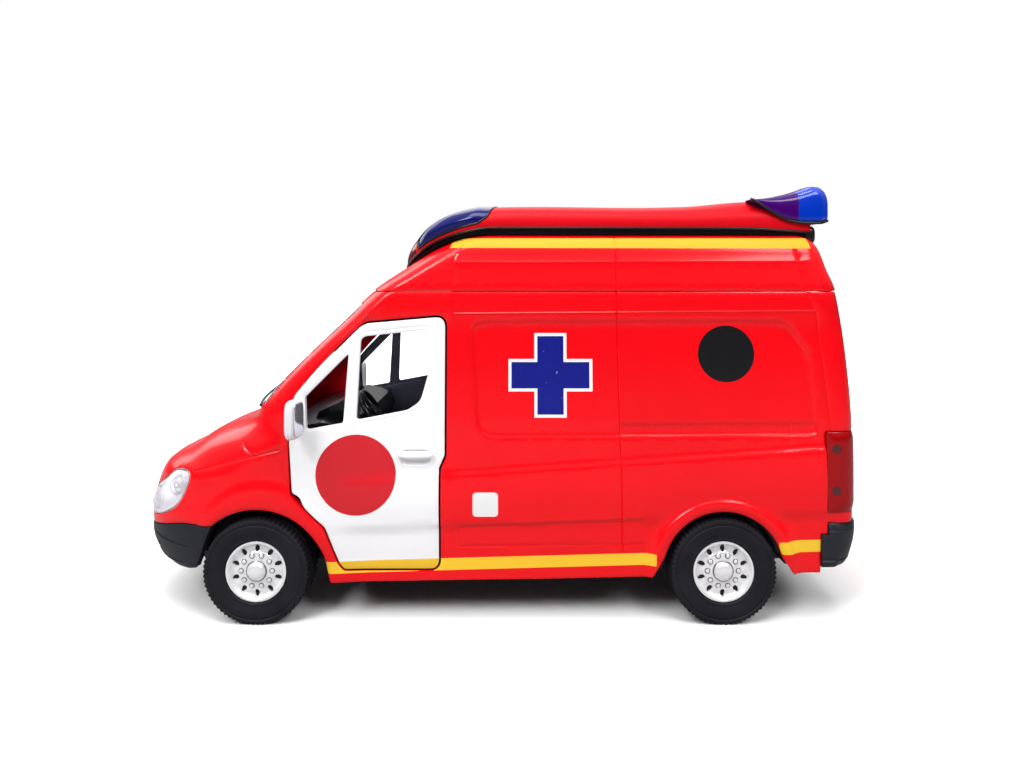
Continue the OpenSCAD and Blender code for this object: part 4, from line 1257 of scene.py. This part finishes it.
for hand, side in SIDES:
    shell(hand + "_front_beacon_lens", beacon_sheet, fairing, [DARK_BLUE], "beacon_dark_blue",
          hand + "_front_beacon", extra=bulge_from(beacon_edge, 0.5, 3.2), thick=0.7, side=side)
    bead(hand + "_front_beacon_gasket", gasket_line * [1, side, 1], 0.22, closed=True)
    rear_beacon(hand, side)
    xs = np.linspace(-52.0, -67.9, 30)
    bead(hand + "_rear_beacon_gasket",
         np.stack([xs, side * (out_of_beacon(xs) - 0.15), low_of_beacon(xs) + 0.15], 1), 0.28)
    rounded_box(hand + "_rear_beacon_bulb", (-62.6, side * 15.6, 81.2), (0.9, 2.2, 2.1), 4.0,
                BULB_BLUE, "beacon_dark_blue", rings=12)


def both_sides(line):
    """A line on the left and its mirror image, as one loop."""
    return np.vstack([line, (line * [1, -1, 1])[::-1][1:]])


# The black base runs round the foot of the fairing
foot_ps = np.concatenate([np.linspace(fair_rear + 0.2, NOSE_FROM, 60),
                          np.linspace(NOSE_FROM, nose_end, 30)[1:]])
half_line = np.stack(fairing(foot_ps, np.zeros_like(foot_ps)), 1)
half_line[:, 2] -= 0.25
half_line[:, 1] = np.maximum(half_line[:, 1] - 0.1, 0)
foot_loop = both_sides(half_line)
bead("fairing_foot", foot_loop, 0.24, sides=12, closed=True)
back_loop = both_sides(np.stack(fairing(np.full(24, fair_rear + 0.5),
                                        np.linspace(0, FAIR_UP, 24)), 1))
finish_piece(add_mesh("fairing_back", back_loop, [tuple(range(len(back_loop)))], [RED_PLASTIC]),
             "red_plastic")
PLINTH_LOW, INWARD = 75.8, np.array([1, 0.96, 1])
skirt = foot_loop * [1, 1, 0] + [0, 0, 1] * np.minimum(PLINTH_LOW, foot_loop[:, 2:] - 1.0)
finish_piece(add_mesh("fairing_plinth", np.vstack([foot_loop * INWARD, skirt * INWARD]),
                      ring_faces(2, len(skirt)), [GLOSS_BLACK]), "black_plastic", "fairing_base")
for hand, side in SIDES:
    rounded_box(hand + "_fairing_rear_foot", (fair_rear + 0.4, side * 18.2, 75.7),
                (1.3, 2.4, 1.9), 3.4, GLOSS_BLACK, "black_plastic", rings=14)



# ---- Wheels ----
TYRE_OUT = corner("left_front_tyre", HIGH)[1]
TYRE_IN = corner("left_front_tyre", LOW)[1]
RIM_R = (corner("left_front_rim", HIGH)[2] - corner("left_front_rim", LOW)[2]) / 2
LUGS = 66


def tyre(name, x, side, rides, node):
    """Sidewall, shoulder lugs and grooved tread, turned about the axle."""
    wide = TYRE_OUT - TYRE_IN
    half = wide / 2
    profile = [(RIM_R + 0.02 + up, w) for up, w in (
        (0, 0.9), (0.12, 0.4), (0.4, 0.22), (0.7, 0.3), (1.0, 0.22), (1.6, 0.08), (2.4, 0.02),
        (2.9, 0.04), (3.0, 0.14))]
    profile += [(TYRE_R - down, w) for down, w in (
        (1.0, 0.16), (0.88, 0.06), (0.4, 0.1), (0.12, 0.22), (0.02, 0.45), (0, 0.9), (0, 1.5),
        (0, 2.2), (0.4, 2.3), (0.4, 2.7), (0, 2.8), (0, half - 0.25), (0.4, half - 0.15))]
    r, w = np.array(profile + [(r, wide - w) for r, w in profile[::-1]]).T[:, None]
    steps = np.arange(LUGS * 4)
    gap = np.where(steps % 4 < 2, 0.0, 1.0)
    edge = np.minimum(w, wide - w)
    cut = 0.20 * smooth((2.25 - edge) / 0.3) * smooth((r - (TYRE_R - 0.75)) / 0.4)
    made = turned(name, r - cut * gap[:, None], side * (TYRE_OUT - w), (x, AXLE_Z),
                  steps * 2 * math.pi / len(steps), RUBBER,
                  CROSSWISE_BACK if side > 0 else CROSSWISE, sharp=38)
    finish_piece(made, "tyre_rubber", node, rides=rides)


BOLTS, BOLT_CIRCLE = 10, 3.0
rim_face_y = curve([0, 1.1, 1.6, 1.9, 2.3, 3.4, 3.9, 4.9, 5.15, 5.45, 5.8, 6.2],
                   [0.45, 0.3, 0.0, -0.45, -0.6, -0.7, -0.95, -1.05, -0.55, -0.12, -0.1, -0.35])
rim_edge = circle(0, 0, RIM_R - 0.05, 120)
oval_holes = []
for k in range(BOLTS):
    angle = 2 * math.pi * (k + 0.5) / BOLTS
    c, s = math.cos(angle), math.sin(angle)
    u, w = (circle(0, 0, 1, 18) * [0.66, 0.46] + [4.3, 0]).T
    oval_holes.append(np.stack([u * c - w * s, u * s + w * c], 1))
bolt_rings = [circle(BOLT_CIRCLE * math.cos(q), BOLT_CIRCLE * math.sin(q), r, 14)
              for q in np.arange(BOLTS) * 2 * math.pi / BOLTS for r in (0.56, 0.38)]
# Dark rings round the hub and round each bolt: painted shade where the chrome dips.
rim_painted_shade = [(circle(0, 0, 2.05, 60), 1), (circle(0, 0, 1.8, 56), 0)]
rim_painted_shade += [(ring, k % 2 == 0) for k, ring in enumerate(bolt_rings)]
rim_rings = [(circle(0, 0, r, int(14 + r * 14)), True) for r in (1.0, 1.6, 2.4, 3.7, 5.15, 5.45)]
rim_rings += [(ring, True) for ring, _ in rim_painted_shade]
rim_sheet = triangulate(rim_edge, oval_holes, rim_rings, 0.3, edge=0.1)


def rim_relief(flat, base):
    """Ten bolts in a ring, with faint ribs outside them."""
    r = np.hypot(flat[:, 0], flat[:, 1])
    angle = np.arctan2(flat[:, 1], flat[:, 0])
    height = np.zeros(len(flat))
    for k in range(BOLTS):
        q = 2 * math.pi * k / BOLTS
        d = np.hypot(flat[:, 0] - BOLT_CIRCLE * math.cos(q),
                     flat[:, 1] - BOLT_CIRCLE * math.sin(q))
        height += 0.3 * smooth((0.46 - d) / 0.2)
    return height + 0.05 * np.cos(20 * angle) * smooth((r - 3.4) / 0.4) * smooth((5.0 - r) / 0.3)


barrel_in, barrel_out = TYRE_IN + 0.5, TYRE_OUT - 0.7
barrel_profile = [(RIM_R - 0.02, barrel_out), (RIM_R - 0.5, barrel_out - 0.3), (RIM_R - 0.6, 24.9),
                  (1.25, 24.9), (1.25, 24.2), (RIM_R - 0.6, 24.2), (RIM_R - 0.6, barrel_in + 0.6),
                  (RIM_R - 0.02, barrel_in)]
hub_profile = [(1.02, 24.6), (2.1, 24.6), (2.1, 20.2), (1.6, 19.5), (1.02, 19.5)]
for axle, x in (("front", FRONT_AXLE), ("rear", REAR_AXLE)):
    rides = axle + "_wheels"
    for hand, side in SIDES:
        wheel = hand + "_" + axle
        tyre(wheel + "_treaded_tyre", x, side, rides, wheel + "_tyre")

        def rim_place(u, w, x=x):
            return x + u, TYRE_OUT - 0.25 + rim_face_y(np.hypot(u, w)), AXLE_Z + w
        shell(wheel + "_rim_face", rim_sheet, rim_place, [CHROME, PAINTED_SHADE_CHROME], "chrome_plastic",
              wheel + "_rim", rides=rides, extra=rim_relief, thick=0.35, paint=rim_painted_shade,
              side=side, chamfer=0.04, sharp=42)
        revolve(wheel + "_wheel_barrel", barrel_profile, (x, AXLE_Z), side, BLACK,
                "black_plastic", rides=rides)
        revolve(wheel + "_wheel_hub", hub_profile, (x, AXLE_Z), side, BLACK, "black_plastic",
                rides=rides, count=48)


# ---- Arch liners behind the tyres ----
def liner(name, axle, z, r, start, end, inner_y, outer_y):
    """A thin trough over a wheel, closed on its inner side."""
    radius, across = np.array([
        (r, outer_y), (r, inner_y), (r - 6.4, inner_y), (r - 6.4, inner_y - 0.5),
        (r + 0.4, inner_y - 0.5), (r + 0.4, outer_y)]).T[:, None]
    angles = np.radians(np.linspace(start, end, 44))
    for hand, side in SIDES:
        left = side > 0
        made = turned(hand + name, radius, side * across, (axle, z), angles, BLACK,
                      CROSSWISE_BACK if left else CROSSWISE, closed=False, flip=left)
        finish_piece(made, "black_plastic")


liner("_front_arch_liner", FRONT_AXLE, ARCH_Z, ARCH_R - 0.45, 14, 172, 15.6, HALF_W - 1.7)
liner("_rear_arch_liner", REAR_AXLE, AXLE_Z, REAR_ARCH_R - 0.35, 8, 164, 17.0, HALF_W - 1.6)

# ---- Black tubes deep inside the gaps round the cab doors: painted shade that keeps the gaps dark ----
gap_shade_line = offset(DOOR_EDGE, -0.5 * GAP)
gap_shade_line = np.roll(gap_shade_line, -int(np.argmax(gap_shade_line[:, 0])), 0)
gap_shade_line = gap_shade_line[gap_shade_line[:, 0] < DOOR_X - 8]
for hand, side in SIDES:
    bead(hand + "_door_gap_shade", (np.stack(skin(*gap_shade_line.T), 1) - [0, 2.2, 0]) * [1, side, 1], 0.5,
         sides=8)

# ---- Wipers ----
for k, (low_y, high_y) in enumerate(((19.5, 4.5), (2.5, -12.5)), 1):
    ys = np.linspace(low_y, high_y, 22)
    zs = np.linspace(41.2, 43.6, 22)
    line = np.stack(skin(by_y(abs(ys), zs), zs), 1)
    line[:, 1] = ys
    line[:, 0] += 0.35
    bead(f"wiper_{k}", line, np.linspace(0.3, 0.2, 22), sides=8)

# ---- Finishes for the CAD pieces that stay ----
# The cab doors' hinge pins end inside the doors, below the slope of the windscreen pillars
PIN_LOW, PIN_HIGH = 26.5, 43.5
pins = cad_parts["hinge_pins"]
pin_points = np.array([pins.matrix_world @ v.co for v in pins.data.vertices]) / MM
pin_points[:, 2] = np.where(pin_points[:, 0] > 0, np.clip(pin_points[:, 2], PIN_LOW, PIN_HIGH),
                            pin_points[:, 2])
finish_piece(add_mesh("hinge_pin_rods", pin_points,
                      [tuple(f.vertices) for f in pins.data.polygons], [STEEL], sharp=40),
             "steel", "hinge_pins")

KEPT = {"chassis": BLACK, "pullback_motor": MOTOR, "interior_floor": FLOOR_PLASTIC,
        "bulkhead": GREY, "dashboard": GLOSS_BLACK, "steering_wheel": GLOSS_BLACK,
        "driver_seat": TRIM, "passenger_seat": TRIM, "front_axle": STEEL, "rear_axle": STEEL}
for name, finish in KEPT.items():
    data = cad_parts[name].data
    data.materials.clear()
    data.materials.append(finish)


# ---- Stage, camera and light ----
CAMERA_PLACE = Vector((-4.3, 160, 67.6)) * MM
camera = placed("camera", bpy.data.cameras.new("camera"))
camera.location = CAMERA_PLACE
camera.rotation_euler = (math.pi / 2, 0, math.pi)
camera.data.lens = 24.35
camera.data.sensor_width = 36
camera.data.shift_y = -0.1064
camera.data.clip_start = 0.005
camera.data.clip_end = 20
bpy.context.scene.camera = camera


def blend_by(tree, share, low, high):
    """A value between low and high; each may be a number or a socket."""
    return add_node(tree, "Mix", {0: share, 2: low, 3: high}).outputs[0]


def seen_only(tree, seen, mirrored, light):
    """Strength as the camera, mirrors and the object's lit surfaces each meet it."""
    path = add_node(tree, "LightPath").outputs
    straight = add_node(tree, "Math", {0: path["Is Camera Ray"], 1: path["Is Transmission Ray"]},
                        operation="MAXIMUM").outputs[0]
    unseen = blend_by(tree, path["Is Glossy Ray"], light, mirrored)
    return blend_by(tree, straight, unseen, seen)


# Mirrors meet a room that is dim at the horizon and white overhead. The lit surfaces meet
# light from higher up, which leaves the floor below the van dark.
PLAIN_WHITE = (1, 1, 1, 1)
world = bpy.data.worlds.new("studio")
bpy.context.scene.world = world
world.use_nodes = True
tree = world.node_tree
direction = add_node(tree, "TexCoord").outputs["Generated"]
upward = add_node(tree, "SeparateXYZ", {0: direction}).outputs["Z"]
mirrored = map_range(tree, upward, 0.05, 0.75, 0.04, 0.7)
lit = map_range(tree, upward, 0.45, 0.95, 0.06, 1.0)
feed(tree, tree.nodes["Background"], {"Color": PLAIN_WHITE,
                                      "Strength": seen_only(tree, 1.0, mirrored, lit)})

# The paper is whiter to the camera than in the enamel, and it fades to plain white away from
# the toy
FLOOR_REACH = 3.0
floor_mesh = bpy.data.meshes.new("floor")
floor_mesh.from_pydata([(FLOOR_REACH * x, FLOOR_REACH * y, 0)
                        for x, y in ((-1, -1), (1, -1), (1, 1), (-1, 1))], [], [(0, 1, 2, 3)])
floor = placed("floor", floor_mesh)
paper, tree, shader = new_material("white_paper")
position = add_node(tree, "NewGeometry").outputs["Position"]
away = add_node(tree, "VectorMath", {0: position}, operation="LENGTH").outputs["Value"]
fade = map_range(tree, away, 0.12, 0.40)
feed(tree, shader, {"Roughness": 0.8, "Specular IOR Level": 0.1,
                    "Base Color": seen_only(tree, 1.0, 0.30, 0.40),
                    "Emission Color": PLAIN_WHITE,
                    "Emission Strength": seen_only(tree, fade, 0.0, 0.0)})
floor_mesh.materials.append(paper)

# Name, place, target, size in metres and power in watts
for name, place, target, size, power in (
        ("overhead", (0.05, 0.14, 0.6), (0, 0, 0.03), 0.4, 2.5),
        ("front_left", (0.30, 0.42, 0.50), (0, 0, 0.04), 0.22, 2.5),
        ("rear_left", (-0.32, 0.40, 0.48), (0, 0, 0.04), 0.22, 1.45),
        ("front_far", (0.45, -0.45, 0.35), (0.04, 0, 0.03), 0.4, 0.75),
        ("far_side", (0, -0.6, 0.45), (0, 0, 0.04), 0.5, 0.9)):
    softbox = placed(name, bpy.data.lights.new(name, "AREA"))
    softbox.data.size = size
    softbox.data.energy = power
    softbox.location = place
    aim = Vector(target) - Vector(place)
    softbox.rotation_euler = aim.to_track_quat("-Z", "Y").to_euler()

bpy.context.scene.view_settings.view_transform = "Standard"
